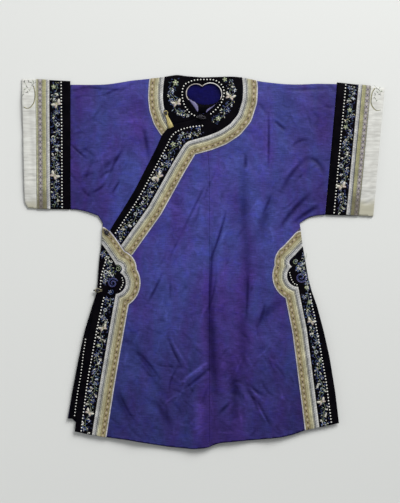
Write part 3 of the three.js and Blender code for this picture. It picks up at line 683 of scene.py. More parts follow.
# Black warp-faced satin, woven: nearly no colour of its own, a long soft sheen on the folds
def satinMaterial():
    made, tree, shader = newMaterial("blackSatin", roughness=0.55, ior=1.5, specular_ior_level=0.02)
    spot = addNode(tree, "TexCoord").outputs["Object"]
    wear = addNode(tree, "TexNoise", {"Vector": spot, "Scale": 1 / 0.03, "Detail": 4, "Roughness": 0.6})
    ramp = addNode(tree, "ValToRGB", {"Fac": wear}, stops=[(0.35, "#020205"), (0.62, "#08060A")])
    # Satin floats: 0.15 mm in the cloth, drawn 1.4 mm so that they show
    floats = addNode(tree, "Mapping", {"Vector": spot, "Scale": (1 / 0.0014, 1 / 0.008, 1)})
    weave = addNode(tree, "TexNoise", {"Vector": floats, "Scale": 1.0, "Detail": 2, "Roughness": 0.6})
    shade = addNode(tree, "MapRange", [weave, 0.3, 0.7, 0.75, 1.3])
    finishMaterial(tree, shader, ramp, [shade], [(weave, 0.4, 0.3)])
    return made


satin = satinMaterial()

# Jacquard silver ribbon: a white satin half, a grey half with cross ribs, a dark selvedge
silverLook = {"width": 14.5, "rib": 5.0}
# Jacquard gold ribbon: cream selvedges, two olive-gold stripes, a beige centre with flower heads
goldLook = {"width": 29.0, "repeat": 17.0, "centre": 17.6}


def ribbonMaterial(name, look, stops, roughness):
    made, tree, shader = newMaterial(
        name, roughness=roughness, ior=1.5, sheen_weight=0.15, sheen_roughness=0.5, specular_ior_level=0.4)
    place = addNode(tree, "SeparateXYZ", {0: addNode(tree, "UVMap", uv_map="ribbonMap")})
    along, across = place.outputs["X"], place.outputs["Y"]
    share = addNode(tree, "Math", [across, look["width"] * mm], operation="DIVIDE")
    profile = addNode(tree, "ValToRGB", {"Fac": share}, stops=stops)
    spot = addNode(tree, "TexCoord").outputs["Object"]
    soil = addNode(tree, "TexNoise", {"Vector": spot, "Scale": 1 / 0.02, "Detail": 4, "Roughness": 0.65})
    soilShade = addNode(tree, "MapRange", [soil, 0.3, 0.7, 0.56, 0.95])
    toned = addNode(tree, "Mix", {0: 1.0, colourA: profile, colourB: soilShade}, **multiply)
    # Figured weave of 1 mm threads, drawn 3.4 mm so that it shows
    grain = addNode(tree, "TexNoise", {"Vector": spot, "Scale": 1 / 0.0034, "Detail": 2})
    fleck = addNode(tree, "MapRange", [grain, 0.3, 0.7, 0.72, 1.25])
    toned = addNode(tree, "Mix", {0: 1.0, colourA: toned, colourB: fleck}, **multiply)
    return made, tree, shader, along, across, toned, grain


def silverMaterial():
    stops = [
        (0.0, "#77747A"), (0.06, "#CBCAC4"), (0.28, "#CECDC8"), (0.4, "#ACACAE"), (0.62, "#B8B8B4"),
        (0.69, "#4E5058"), (0.8, "#5C5E62"), (0.87, "#C0BFB0"), (0.97, "#AAA896"), (1.0, "#6E6B60")]
    made, tree, shader, along, across, toned, grain = ribbonMaterial("silverRibbon", silverLook, stops, 0.5)
    slant = addNode(tree, "Math", [across, 0.45, along], operation="MULTIPLY_ADD")
    turn = addNode(tree, "Math", [slant, 2 * math.pi / (silverLook["rib"] * mm)], operation="MULTIPLY")
    ribs = addNode(tree, "Math", [turn], operation="SINE")
    shade = addNode(tree, "MapRange", [ribs, -1.0, 1.0, 0.7, 1.12])
    finishMaterial(tree, shader, toned, [shade], [(ribs, 0.5, 0.2)])
    return made


goldColours = {
    "goldRibbon": {
        # The last stop, a dark purple line at the outer edge, is a painted shadow along that edge
        "stops": [
            (0.0, "#5E5B55"), (0.04, "#C9C5A8"), (0.1, "#C0BB9C"), (0.16, "#A6A07C"), (0.32, "#ADA685"),
            (0.37, "#7C7446"), (0.42, "#9A8B66"), (0.8, "#958762"), (0.84, "#7F7848"), (0.885, "#A8A290"),
            (0.91, "#C6C2C6"), (0.97, "#BDB8C2"), (1.0, "#3E3752")],
        "halo": "#7A6A4C", "head": "#34261E", "bud": "#A39680", "leaf": "#5D5A30"},
    "sleeveGoldRibbon": {
        "stops": [
            (0.0, "#77747A"), (0.05, "#BAB694"), (0.1, "#A19E72"), (0.34, "#96946A"), (0.39, "#7A7855"),
            (0.43, "#969090"), (0.79, "#948E8E"), (0.82, "#7E7C58"), (0.88, "#8F8D68"), (0.91, "#C2C0A0"),
            (1.0, "#BFBDA4")],
        "halo": "#807A7E", "head": "#3A3340", "bud": "#A09898", "leaf": "#5D5A30"},
}
# The ribbon's figures: place in the repeat, half length, half width, distance from the centre line, colour
goldFigures = [
    (0.0, 4.0, 3.6, 0.0, "halo"), (0.0, 2.6, 2.2, 0.0, "head"), (0.5, 3.2, 2.8, 0.0, "bud"),
    (0.25, 1.8, 1.3, 3.4, "leaf"), (0.75, 1.8, 1.3, 3.4, "leaf"),
]


def goldMaterial(name):
    colours = goldColours[name]
    stops = colours["stops"]
    made, tree, shader, along, across, toned, grain = ribbonMaterial(name, goldLook, stops, 0.58)
    step = addNode(tree, "Math", [along, goldLook["repeat"] * mm], operation="DIVIDE")
    offCentre = addNode(tree, "Math", [across, goldLook["centre"] * mm], operation="SUBTRACT")
    colour = toned
    # Flower heads, small pink buds between them, and leaves on both sides
    for shift, halfLong, halfWide, aside, tone in goldFigures:
        phase = addNode(tree, "Math", [step, shift], operation="ADD")
        cell = addNode(tree, "Math", [phase], operation="FRACT")
        far = addNode(tree, "Math", [cell, 0.5], operation="SUBTRACT")
        longPart = addNode(tree, "Math", [far, goldLook["repeat"] / halfLong], operation="MULTIPLY")
        sidePart = addNode(tree, "Math", [offCentre], operation="ABSOLUTE")
        sideShift = addNode(tree, "Math", [sidePart, aside * mm], operation="SUBTRACT")
        widePart = addNode(tree, "Math", [sideShift, 1 / (halfWide * mm)], operation="MULTIPLY")
        longSquare = addNode(tree, "Math", [longPart, 2.0], operation="POWER")
        wideSquare = addNode(tree, "Math", [widePart, 2.0], operation="POWER")
        reach = addNode(tree, "Math", [longSquare, wideSquare], operation="ADD")
        mask = addNode(tree, "MapRange", [reach, 0.6, 1.3, 0.9, 0.0])
        colour = addNode(tree, "Mix", {0: mask, colourA: colour, colourB: linear(colours[tone])}, data_type="RGBA")
    # The ribbon goes brown toward the lower end of each sleeve, where it folds under
    spot = addNode(tree, "SeparateXYZ", {0: addNode(tree, "TexCoord").outputs["Object"]})
    outward = addNode(tree, "Math", [spot.outputs["X"]], operation="ABSOLUTE")
    onSleeve = addNode(tree, "MapRange", [outward, 0.36, 0.38, 0.0, 0.6])
    atFold = addNode(tree, "MapRange", [spot.outputs["Y"], 0.215, 0.17, 0.0, 1.0])
    brown = addNode(tree, "Math", [onSleeve, atFold], operation="MULTIPLY")
    colour = addNode(tree, "Mix", {0: brown, colourA: colour, colourB: linear("#4A4232")}, data_type="RGBA")
    finishMaterial(tree, shader, colour, [], [(grain, 0.5, 0.3)])
    return made


silverRibbon = silverMaterial()
goldRibbon, sleeveGold = goldMaterial("goldRibbon"), goldMaterial("sleeveGoldRibbon")

# White silk satin of the cuffs, woven: cool grey-white that goes darker and warmer along the lower end
cuffLook = {"white": "#C7C7C1", "shade": "#B2B1AB", "stain": "#A19D86", "lowTintTop": 0.198, "lowTintEnd": 0.15}


def cuffMaterial():
    look = cuffLook
    made, tree, shader = newMaterial(
        "whiteCuffSatin", roughness=0.5, ior=1.5, sheen_weight=0.2, sheen_roughness=0.4, specular_ior_level=0.4)
    spot = addNode(tree, "TexCoord").outputs["Object"]
    streak = addNode(tree, "Mapping", {"Vector": spot, "Rotation": (0, 0, -0.35), "Scale": (1 / 0.05, 1 / 0.006, 1)})
    noise = addNode(tree, "TexNoise", {"Vector": streak, "Scale": 1.0, "Detail": 4, "Roughness": 0.6})
    base = addNode(tree, "ValToRGB", {"Fac": noise}, stops=[(0.35, look["shade"]), (0.6, look["white"])])
    blotch = addNode(tree, "TexNoise", {"Vector": spot, "Scale": 1 / 0.035, "Detail": 4, "Roughness": 0.6})
    height = addNode(tree, "SeparateXYZ", {0: spot}).outputs["Y"]
    low = addNode(tree, "MapRange", [height, look["lowTintTop"], look["lowTintEnd"], -0.3, 0.7])
    tinted = addNode(tree, "Math", [low, blotch], operation="ADD")
    mask = addNode(tree, "MapRange", [tinted, 0.45, 1.0, 0.0, 0.8])
    mixed = addNode(tree, "Mix", {0: mask, colourA: base, colourB: linear(look["stain"])}, data_type="RGBA")
    finishMaterial(tree, shader, mixed, [], [(blotch, 0.5, 2.0), (noise, 0.3, 0.4)])
    return made


cuffSatin = cuffMaterial()


# Untwisted silk floss and laid cords: each colour's stitches catch the light along their length
def flossMaterial(name, colour, roughness=0.42, stitch=0.7):
    made, tree, shader = newMaterial(
        name, roughness=roughness, ior=1.5, sheen_weight=0.15, sheen_roughness=0.4, specular_ior_level=0.45)
    spot = addNode(tree, "TexCoord").outputs["Object"]
    noise = addNode(tree, "TexNoise", {"Vector": spot, "Scale": 1 / (stitch * mm), "Detail": 2})
    shade = addNode(tree, "MapRange", [noise, 0.3, 0.7, 0.72, 1.15])
    finishMaterial(tree, shader, linear(colour), [shade], [(noise, 0.5, 0.2)])
    return made


flossColours = {
    "white": "#DEDDD5", "cream": "#BFBCAE", "pale": "#9CA9BA", "blue": "#243B70", "deep": "#142152",
    "night": "#0C1338", "sage": "#8D9A7A", "ochre": "#B4AE80", "pink": "#A99A92", "lilac": "#4C457E",
    "teal": "#1B3A4A", "moss": "#343826",
}
flossNames = list(flossColours)
flosses = [flossMaterial(name + "Floss", colour) for name, colour in flossColours.items()]
pipingSilk = flossMaterial("rolledPiping", "#A39C95", 0.55, 1.2)
facingSatin = flossMaterial("facingSatin", "#605C82", 0.5, 1.6)
cordSatin = flossMaterial("blackSatinCord", "#1A1622", 0.5, 1.0)
cordGold = flossMaterial("goldCord", "#B0A368", 0.45, 1.0)
cordWorn = flossMaterial("wornGoldCord", "#7A745A", 0.5, 1.0)
# Painted highlight: a paler copy of the piping silk, for the side of the neck tube toward the light
pipingLit = flossMaterial("litPiping", "#C9C7C2", 0.55, 1.6)
print("materials made")

# Cloth pieces: node, layer it lies with, material, slot, spacing of its mesh and how it lies, in mm
satinLift, silverLift, goldLift = 0.9, 1.15, 1.25
clothPieces = [
    ("back_panel", "table", shadedBackSilk, "silk", 10, {}),
    ("front_inner", "inner", silk, "silk", 4.4, {"joined": True}),
    ("front_overlap", "outer", silk, "silk", 4.0, {}),
    ("front_left", "outer", silk, "silk", 4.0, {"joined": True}),
    ("inner_border_satin", "inner", satin, "satin", 5, {"lift": satinLift, "thickness": 0.85}),
    ("sleeve_right_satin", "inner", satin, "satin", 5, {"lift": 0.2, "thickness": 1.2, "tube": True}),
    ("sleeve_left_satin", "inner", satin, "satin", 5, {"lift": 0.2, "thickness": 1.2, "tube": True}),
    ("cuff_right", "inner", cuffSatin, "cuff_satin", 4.5, {"lift": 0.2, "thickness": 1.2, "tube": True}),
    ("cuff_left", "inner", cuffSatin, "cuff_satin", 4.5, {"lift": 0.2, "thickness": 1.2, "tube": True}),
]
borderLayers = {"collar": "inner", "flap": "outer", "slit_right": "outer", "slit_left": "outer"}
for border, layer in borderLayers.items():
    clothPieces += [
        (border + "_satin", layer, satin, "satin", 5, {"lift": satinLift, "thickness": 0.85}),
        (border + "_silver", layer, silverRibbon, "silver_ribbon", 4, {"lift": silverLift, "thickness": 1.0}),
        (border + "_gold", layer, goldRibbon, "gold_ribbon", 4, {"lift": goldLift, "thickness": 1.1}),
    ]
for side in ("right", "left"):
    clothPieces += [
        (f"sleeve_{side}_silver", "inner", silverRibbon, "silver_ribbon", 4, {"lift": silverLift, "thickness": 0.9}),
        (f"sleeve_{side}_gold", "inner", sleeveGold, "gold_ribbon", 4, {"lift": goldLift, "thickness": 1.0}),
    ]
for node, layer, material, slotName, spacing, how in clothPieces:
    layCloth(node, layer, material, slotName, spacing, **how)
print("cloth pieces laid")

sleeveSilverLines = {
    "right": [(-446.5, 560), (-443.5, 120)],
    "left": [(452.2, 528), (414, 125)],
}
for side, line in sleeveSilverLines.items():
    line = np.array(line, float) * mm
    mapRibbon(f"sleeve_{side}_silver", line, False)
    mapRibbon(f"sleeve_{side}_gold", line, False, 9.5 if side == "right" else 11)
for border in borderLayers:
    for inside, ribbon in (("_satin", "_silver"), ("_silver", "_gold")):
        mapRibbon(border + ribbon, evenLoop(max(outlineOf(border + inside), key=len), 3 * mm), True)
print("ribbons mapped")

# Rolled edge of the neck: a tube down the middle of each packed length of edging
neckLook = {
    "centre": (2, 474), "steps": 240, "radius": 1.35, "facingDepth": 0.7,
    "worn": (5, 88), "turnedIn": (186, 356),  # bearings in degrees
}
# How far the black facing leaves the hole open, from the neck's centre: degrees, millimetres. The black band is
# partly a facing and partly painted shade inside the hole
facingShadeEdge = [
    (164, 50), (172, 45), (180, 39), (197, 30), (214, 24), (240, 19), (263, 17.5), (290, 19), (318, 24), (332, 32),
    (344, 39.6), (354, 45), (360, 51),
]
# Lilac linings over the lower edge of the hole: degrees, width in millimetres
facingStrips = {
    "facingRight": [(181, 2), (188, 6), (200, 10.5), (222, 12), (238, 11), (245, 8)],
    "facingLeft": [(279, 3), (284, 6), (300, 5), (315, 2.6), (340, 1.2), (349, 0.6)],
}


# Where a ray from the neck's centre enters and leaves a length of edging, by angle
def neckRays(node):
    starts, ends = segmentsOf(outlineOf(node))
    centre = np.array(neckLook["centre"]) * mm
    found = []
    for step in range(neckLook["steps"]):
        angle = math.radians(-90 + 360 * (step + 0.5) / neckLook["steps"])
        ray = np.array((math.cos(angle), math.sin(angle)))
        a, b = starts - centre, ends - centre
        sideA, sideB = crossed(a, ray), crossed(b, ray)
        crossing = (sideA > 0) != (sideB > 0)
        share = sideA[crossing] / (sideA - sideB)[crossing]
        reach = ((a[crossing] + share[:, None] * (b - a)[crossing]) @ ray)
        reach = reach[reach > 0]
        if len(reach) > 1:
            found.append((angle, reach.min(), reach.max()))
    return found


# Tube along a line of points, with an oval section where it is pressed flat
def tubeMesh(line, radius, sides=8, pressed=1.0):
    line = np.asarray(line, float)
    tangent = np.gradient(line, axis=0)
    tangent /= np.linalg.norm(tangent, axis=1)[:, None]
    across = np.cross(np.array((0.0, 0.0, 1.0)), tangent)
    weak = np.linalg.norm(across, axis=1) < 1e-3
    across[weak] = (1, 0, 0)
    across /= np.linalg.norm(across, axis=1)[:, None]
    upward = np.cross(tangent, across)
    turn = 2 * np.pi * np.arange(sides) / sides
    ring = (np.cos(turn)[None, :, None] * across[:, None, :]
            + pressed * np.sin(turn)[None, :, None] * upward[:, None, :])
    points = (line[:, None, :] + radius * ring).reshape(-1, 3)
    faces = []
    for k in range(len(line) - 1):
        for s in range(sides):
            a, b = k * sides + s, k * sides + (s + 1) % sides
            faces.append((a, b, b + sides, a + sides))
    faces = [face[::-1] for face in faces]
    faces.append(tuple(range(sides)))
    faces.append(tuple(range(len(points) - 1, len(points) - sides - 1, -1)))
    return points, faces


def joinMeshes(parts):
    points, faces, count = [], [], 0
    for partPoints, partFaces in parts:
        points.append(np.asarray(partPoints, float))
        faces += [tuple(i + count for i in face) for face in partFaces]
        count += len(partPoints)
    return np.concatenate(points), faces


neckHoleEdge = {}
for node, layer in (("piping_inner", "inner"), ("piping_outer", "outer")):
    rays = neckRays(node)
    angles = np.array([r[0] for r in rays])
    middle = np.array([(r[1] + r[2]) / 2 for r in rays])
    neckHoleEdge[layer] = (angles, np.array([r[1] for r in rays]))
    x = neckLook["centre"][0] * mm + middle * np.cos(angles)
    y = neckLook["centre"][1] * mm + middle * np.sin(angles)
    z = panelTop(layer, x, y) + 0.9 * mm
    points, faces = tubeMesh(np.column_stack([x, y, z]), neckLook["radius"] * mm, 8)
    # Crumpled silk: the tube swells and narrows a little along its length
    middles = np.column_stack([x, y, z]).repeat(8, axis=0)
    swell = 1 + 0.22 * softNoise(points[:, 0], points[:, 1], 5 * mm, 21)
    points = middles + (points - middles) * swell[:, None]
    centres = np.array([points[list(face)].mean(axis=0) for face in faces]) / mm - (*neckLook["centre"], 0)
    bearing = np.degrees(np.arctan2(centres[:, 1], centres[:, 0])) % 360
    tone = np.zeros(len(faces), int)
    # Painted highlight: the tube's upper right, toward the light, takes the paler silk
    for part, (low, high) in ((1, neckLook["worn"]), (2, neckLook["turnedIn"])):
        tone[(bearing > low) & (bearing < high)] = part
    made = newObject(pieceName(node), points, faces, [pipingSilk, pipingLit, satin], tone.tolist())
    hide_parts(node)
    pieces[node] = made


def addFacing(name, degrees, outer, inner, depth, material):
    turn = np.radians(degrees)
    rows = []
    for share in (0.0, 0.3, 0.65, 1.0):
        reach = (outer + share * (inner - outer)) * mm
        x = neckLook["centre"][0] * mm + reach * np.cos(turn)
        y = neckLook["centre"][1] * mm + reach * np.sin(turn)
        rows.append(np.column_stack([x, y, panelTop("inner", x, y) - (depth + 0.9 * share) * mm]))
    upper = np.stack(rows, axis=1).reshape(-1, 3)
    lower = upper - (0, 0, neckLook["facingDepth"] * mm)
    count, wide, long = len(upper), len(rows), len(turn)
    faces = []
    for k in range(long - 1):
        for s in range(wide - 1):
            a, b = k * wide + s, k * wide + s + 1
            faces += [(a, a + wide, b + wide, b), (a + count, b + count, b + wide + count, a + wide + count)]
        a, b = k * wide, k * wide + wide - 1
        faces += [(a, a + count, a + wide + count, a + wide), (b, b + wide, b + wide + count, b + count)]
    for a in (0, (long - 1) * wide):
        cap = [a + s for s in range(wide)] + [a + s + count for s in reversed(range(wide))]
        faces.append(tuple(cap if a == 0 else cap[::-1]))
    made = newObject(name, np.concatenate([upper, lower]), faces, [material])


# Radius of the hole at each bearing, from the inner sides of both lengths of edging
holeAngles = np.concatenate([neckHoleEdge[layer][0] for layer in ("inner", "outer")])
holeReach = np.concatenate([neckHoleEdge[layer][1] for layer in ("inner", "outer")]) / mm
order = np.argsort(np.degrees(holeAngles) % 360)
holeAngles, holeReach = (np.degrees(holeAngles) % 360)[order], holeReach[order]
degrees = np.linspace(facingShadeEdge[0][0], facingShadeEdge[-1][0], 60)
outer = np.interp(degrees, holeAngles, holeReach) + 0.8
inner = np.interp(degrees, *zip(*facingShadeEdge)) + 1.0 * softNoise(degrees * 0.02, degrees * 0, 0.11, 22)
# Black satin band round the hole: partly a facing, partly painted shade inside the opening
addFacing("neckFacing", degrees, outer, np.minimum(inner, outer - 0.6), 0.9, satin)
for name, table in facingStrips.items():
    degrees = np.linspace(table[0][0], table[-1][0], 40)
    outer = np.interp(degrees, holeAngles, holeReach) + 0.3
    width = np.interp(degrees, *zip(*table)) * (1 + 0.12 * softNoise(degrees * 0.02, degrees * 0, 0.06, 23))
    addFacing(name, degrees, outer, outer - width, 0.1, facingSatin)

# Knot buttons: a ball of crossing cord with its sewn ends, and the loop that goes round it
closures = {
    "neck": {"x": -6, "y": 419, "angle": -12, "reach": 14, "cord": cordSatin, "slot": "cord"},
    "chest": {"x": -108, "y": 430, "angle": -70, "reach": 45, "cord": cordGold, "slot": "gold_cord"},
    "underarm": {"x": -279, "y": 84, "angle": -45, "reach": 14, "cord": cordSatin, "slot": "cord"},
    "slit": {"x": -306, "y": -83, "angle": 0, "reach": 13, "cord": cordWorn, "slot": "gold_cord"},
}
tailLine = [(-2.2, 1, 2.4), (-5.5, 1.1, 1.9), (-9, 1.15, 1.7), (-12.4, 1.1, 1.6)]
knotLook = {"ball": 4.3, "strand": 1.15, "loop": 1.3, "grip": 5.4, "below": 0.4}


def smoothLine(points, count):
    points = np.asarray(points, float)
    padded = np.concatenate([2 * points[:1] - points[1:2], points, 2 * points[-1:] - points[-2:-1]])
    at = np.linspace(0, len(points) - 1.0001, count)
    k, t = at.astype(int), (at % 1)[:, None]
    p0, p1, p2, p3 = (padded[k + shift] for shift in range(4))
    return 0.5 * (2 * p1 + (p2 - p0) * t + (2 * p0 - 5 * p1 + 4 * p2 - p3) * t ** 2
                  + (3 * p1 - p0 - 3 * p2 + p3) * t ** 3)


for name, place in closures.items():
    ball, strand = knotLook["ball"], knotLook["strand"]
    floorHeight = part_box(name + "_knot")[0].z / mm - knotLook["below"]
    t = np.linspace(0, 2 * np.pi, 150)
    out = (ball - strand) * (1 + 0.1 * np.sin(8 * t + 0.8))
    lon, lat = 3 * t, 1.15 * np.sin(4 * t)
    weave = np.column_stack([out * np.cos(lat) * np.cos(lon), out * np.cos(lat) * np.sin(lon), out * np.sin(lat)])
    weave[:, 2] += ball + knotLook["below"]
    core = [(0, 0, knotLook["below"] + 0.9 + k * 0.7) for k in range(11)]
    corePoints, coreFaces = tubeMesh(np.array(core) + np.linspace(0, 0.01, 11)[:, None] * (1, 0, 0), 1.0, 10)
    height = np.array(core)[:, 2].repeat(10)
    swell = np.sqrt(np.clip((ball - 0.9) ** 2 - (height - ball - knotLook["below"]) ** 2, 0.2, None))
    corePoints[:, :2] *= swell[:, None]
    tails = [tubeMesh([(x, share * side, z) for x, share, z in tailLine], 1.1, 8) for side in (-1.05, 1.05)]
    knotPoints, knotFaces = joinMeshes([tubeMesh(weave, strand, 7), (corePoints, coreFaces)] + tails)
    grip, reach = knotLook["grip"], place["reach"]
    half = [(0.11 * grip, grip, 1.7), (-0.72 * grip, 0.76 * grip, 2),
            (-1.04 * grip, 0.72 * grip, 5.2), (-1.08 * grip, 0.0, 6.0)]
    oneSide = [(reach, 1.6, 1.5), (ball + 3.4, 2.4, 1.5)] + half
    line = [(x, -y, z) for x, y, z in oneSide] + [point for point in reversed(oneSide[:-1])]
    loopPoints, loopFaces = tubeMesh(smoothLine(line, 90), knotLook["loop"], 8)
    if name == "chest":  # its ends are spread and stitched into a wedge of folded ribbon
        tab = [(ball + 1, 2.2), (ball + 10, 4.2), (reach - 12, 7.2), (reach - 1, 8.0)]
        upper = [(x, side * wide, 2.2 - 0.9 * abs(side)) for x, wide in tab for side in (-1, -0.4, 0.4, 1)]
        wedge = upper + [(x, y, 0.35) for x, y, z in upper]
        wedgeFaces = []
        for k in range(3):
            for c in range(3):
                a = 4 * k + c
                wedgeFaces += [(a, a + 4, a + 5, a + 1), (a + 16, a + 17, a + 21, a + 20)]
            for a, b in ((4 * k, 4 * k + 16), (4 * k + 19, 4 * k + 3)):
                wedgeFaces.append((a, b, b + 4, a + 4))
        wedgeFaces += [(0, 1, 2, 3, 19, 18, 17, 16), (12, 28, 29, 30, 31, 15, 14, 13)]
        loopPoints, loopFaces = joinMeshes([(loopPoints, loopFaces), (wedge, wedgeFaces)])
    turn = math.radians(place["angle"])
    turned = np.array(((math.cos(turn), math.sin(turn), 0), (-math.sin(turn), math.cos(turn), 0), (0, 0, 1)))
    for part, points, faces, material, slotName in (
            ("knot", knotPoints, knotFaces, cordSatin, "cord"),
            ("loop", loopPoints, loopFaces, place["cord"], place["slot"])):
        points = (points @ turned + (place["x"], place["y"], floorHeight)) * mm
        made = newObject(f"{name}{part.capitalize()}", points, faces, [material])
        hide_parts(f"{name}_{part}")
        pieces[f"{name}_{part}"] = made
print("edging and closures made")


# Embroidery is gathered petal by petal in millimetres, and what would pass the satin's edge is left out
def newStitching(node, layer, lift, margin):
    return {"loops": outlineOf(node, frontFloor), "layer": layer, "lift": lift, "parts": [], "margin": margin}


def shifted(x, y, reach, angle):
    return x + reach * math.cos(angle), y + reach * math.sin(angle)


def addPart(work, points, faces, tone, cut=True):
    work["parts"].append((points, faces, flossNames.index(tone), cut))


petalRows = [(0.24, 0.74, 0.85), (0.56, 1.0, 1.0), (0.84, 0.62, 0.75)]
petalFaces = [
    (0, 3, 2), (0, 2, 1), (1, 2, 5, 4), (2, 3, 6, 5), (4, 5, 8, 7), (5, 6, 9, 8), (7, 8, 10), (8, 9, 10),
    (0, 1, 4, 7, 10, 9, 6, 3),
]


def addPetal(work, x, y, angle, length, width, tone, rise=0.75, bend=0.0):
    forward, side = (math.cos(angle), math.sin(angle)), (-math.sin(angle), math.cos(angle))
    local = [(0.0, 0.0, -0.2)]
    for along, share, high in petalRows:
        middle = bend * length * (along * (1 - along)) * 4
        for way in (1, 0, -1):
            local.append((along * length, middle + way * share * width / 2, rise * high if way == 0 else -0.2))
    local.append((length, 0.0, -0.2))
    points = [(x + u * forward[0] + v * side[0], y + u * forward[1] + v * side[1], h) for u, v, h in local]
    addPart(work, points, petalFaces, tone)


def addDot(work, x, y, radius, tone="white", high=0.75, sides=8):
    points, faces = [], []
    for share, rise in ((1.0, -0.2), (0.82, 0.55)):
        for k in range(sides):
            turn = 2 * math.pi * k / sides
            points.append((*shifted(x, y, share * radius, turn), rise * high * radius))
    points.append((x, y, high * radius))
    for k in range(sides):
        after = (k + 1) % sides
        faces += [(k, after, sides + after, sides + k), (sides + k, sides + after, 2 * sides)]
    faces.append(tuple(reversed(range(sides))))
    addPart(work, points, faces, tone)


cordSection = [(-1, -0.25), (-0.72, 0.5), (0, 0.85), (0.72, 0.5), (1, -0.25)]


def addCord(work, line, radius, tone):
    line = np.asarray(line, float)
    tangent = np.gradient(line, axis=0)
    tangent /= np.maximum(np.hypot(*tangent.T), 1e-9)[:, None]
    points, faces, wide = [], [], len(cordSection)
    for (x, y), (tx, ty) in zip(line, tangent):
        points += [(x + v * radius * ty, y - v * radius * tx, h * radius) for v, h in cordSection]
    for k in range(len(line) - 1):
        for s in range(wide):
            a, b = k * wide + s, k * wide + (s + 1) % wide
            faces.append((a, a + wide, b + wide, b))
    faces.append(tuple(range(wide)))
    faces.append(tuple(reversed(range(len(points) - wide, len(points)))))
    addPart(work, points, faces, tone, False)


def addFlower(work, x, y, size, turn, tones, petals=6):
    for k in range(petals):
        angle = turn + 2 * math.pi * k / petals
        foot = shifted(x, y, 0.14 * size, angle)
        addPetal(work, *foot, angle, 0.92 * size, 0.86 * size, tones[0], 0.7)
        addPetal(work, *foot, angle, 0.6 * size, 0.42 * size, tones[1], 1.05)
    addDot(work, x, y, 0.24 * size, tones[2], 1.6, 6)


# Open flower with the satin showing in its middle
def addRingFlower(work, x, y, size, turn, tones):
    for k in range(8):
        angle = turn + math.pi * k / 4
        addPetal(work, *shifted(x, y, 0.34 * size, angle), angle, 0.66 * size, 0.5 * size, tones[k % 2], 0.9)


# Upper and lower wing, each with an inner petal: spread, length, width, tone, rise, bend
wingParts = [
    (0.95, 1.15, 0.72, 0, 0.9, 0.1), (0.95, 0.8, 0.3, 1, 1.25, 0.1), (2.2, 0.85, 0.62, 1, 0.8, -0.1),
    (2.25, 0.6, 0.26, 0, 1.1, 0.0),
]


def addButterfly(work, x, y, size, turn, tones=("cream", "pink", "ochre")):
    for way in (1, -1):
        for spread, length, width, tone, rise, bend in wingParts:
            addPetal(work, x, y, turn + way * spread, length * size, width * size, tones[tone], rise, bend * way)
        feeler = [shifted(x, y, share * size, turn + lean * way)
                  for share, lean in ((0, 0), (0.6, 0.25), (0.95, 0.5))]
        addCord(work, feeler, 0.35, tones[0])
    addPetal(work, *shifted(x, y, -0.35 * size, turn), turn, 0.8 * size, 0.2 * size, tones[2], 1.5)


def addScroll(work, x, y, radius, turn, turns, tone, cord=0.95, way=1):
    t = np.linspace(0, 1, int(16 * turns) + 6)
    angle = turn + way * 2 * math.pi * turns * t
    reach = radius * (1 - 0.82 * t)
    addCord(work, np.column_stack([x + reach * np.cos(angle), y + reach * np.sin(angle)]), cord, tone)


def lengthsOf(line):
    return np.concatenate([[0], np.cumsum(np.hypot(*np.diff(line, axis=0).T))])


def addDots(work, path, spacing=9.0, radius=2.25):
    line = smoothLine(path, 40 * len(path)) if len(path) > 2 else np.array(path, float)
    lengths = lengthsOf(line)
    for s in np.linspace(0, lengths[-1], max(2, int(round(lengths[-1] / spacing)) + 1)):
        addDot(work, np.interp(s, lengths, line[:, 0]), np.interp(s, lengths, line[:, 1]), radius)


# Shares of the leaf colours: white and sage ones stand out, dark blue ones fill the ground
leafTones = {"cream": 0.38, "pale": 0.18, "sage": 0.2, "blue": 0.08, "ochre": 0.1, "lilac": 0.06}
groundTones = {"deep": 0.46, "night": 0.26, "teal": 0.18, "blue": 0.1}
sprayLook = {"ground": 4.4, "leaf": 5.0, "motif": 27, "clear": 15}


def pickTone(random, shares):
    return list(shares)[random.choice(len(shares), p=list(shares.values()))]


# Dark blue petals, half of them edged with a pale stroke
def addBlueFlower(work, x, y, size, turn, random):
    for k in range(5):
        angle = turn + 2 * math.pi * k / 5
        addPetal(work, x, y, angle, size, 0.62 * size, ("deep", "blue")[k % 2], 0.75)
        if random.random() < 0.7:
            addPetal(work, *shifted(x, y, 0.22 * size, angle + 0.7), angle + 0.12, 0.72 * size, 0.2 * size,
                     ("white", "pale")[k % 2], 1.2)
    addDot(work, x, y, 0.16 * size, "ochre", 2.0, 6)


def addSprig(work, x, y, size, turn, random):
    tone = pickTone(random, leafTones)
    for k in range(4):
        addPetal(work, x, y, turn + 0.62 * (k - 1.5), size * random.uniform(0.8, 1.1), 0.3 * size,
                 tone if k % 2 else "white", 1.0, random.uniform(-0.15, 0.15))


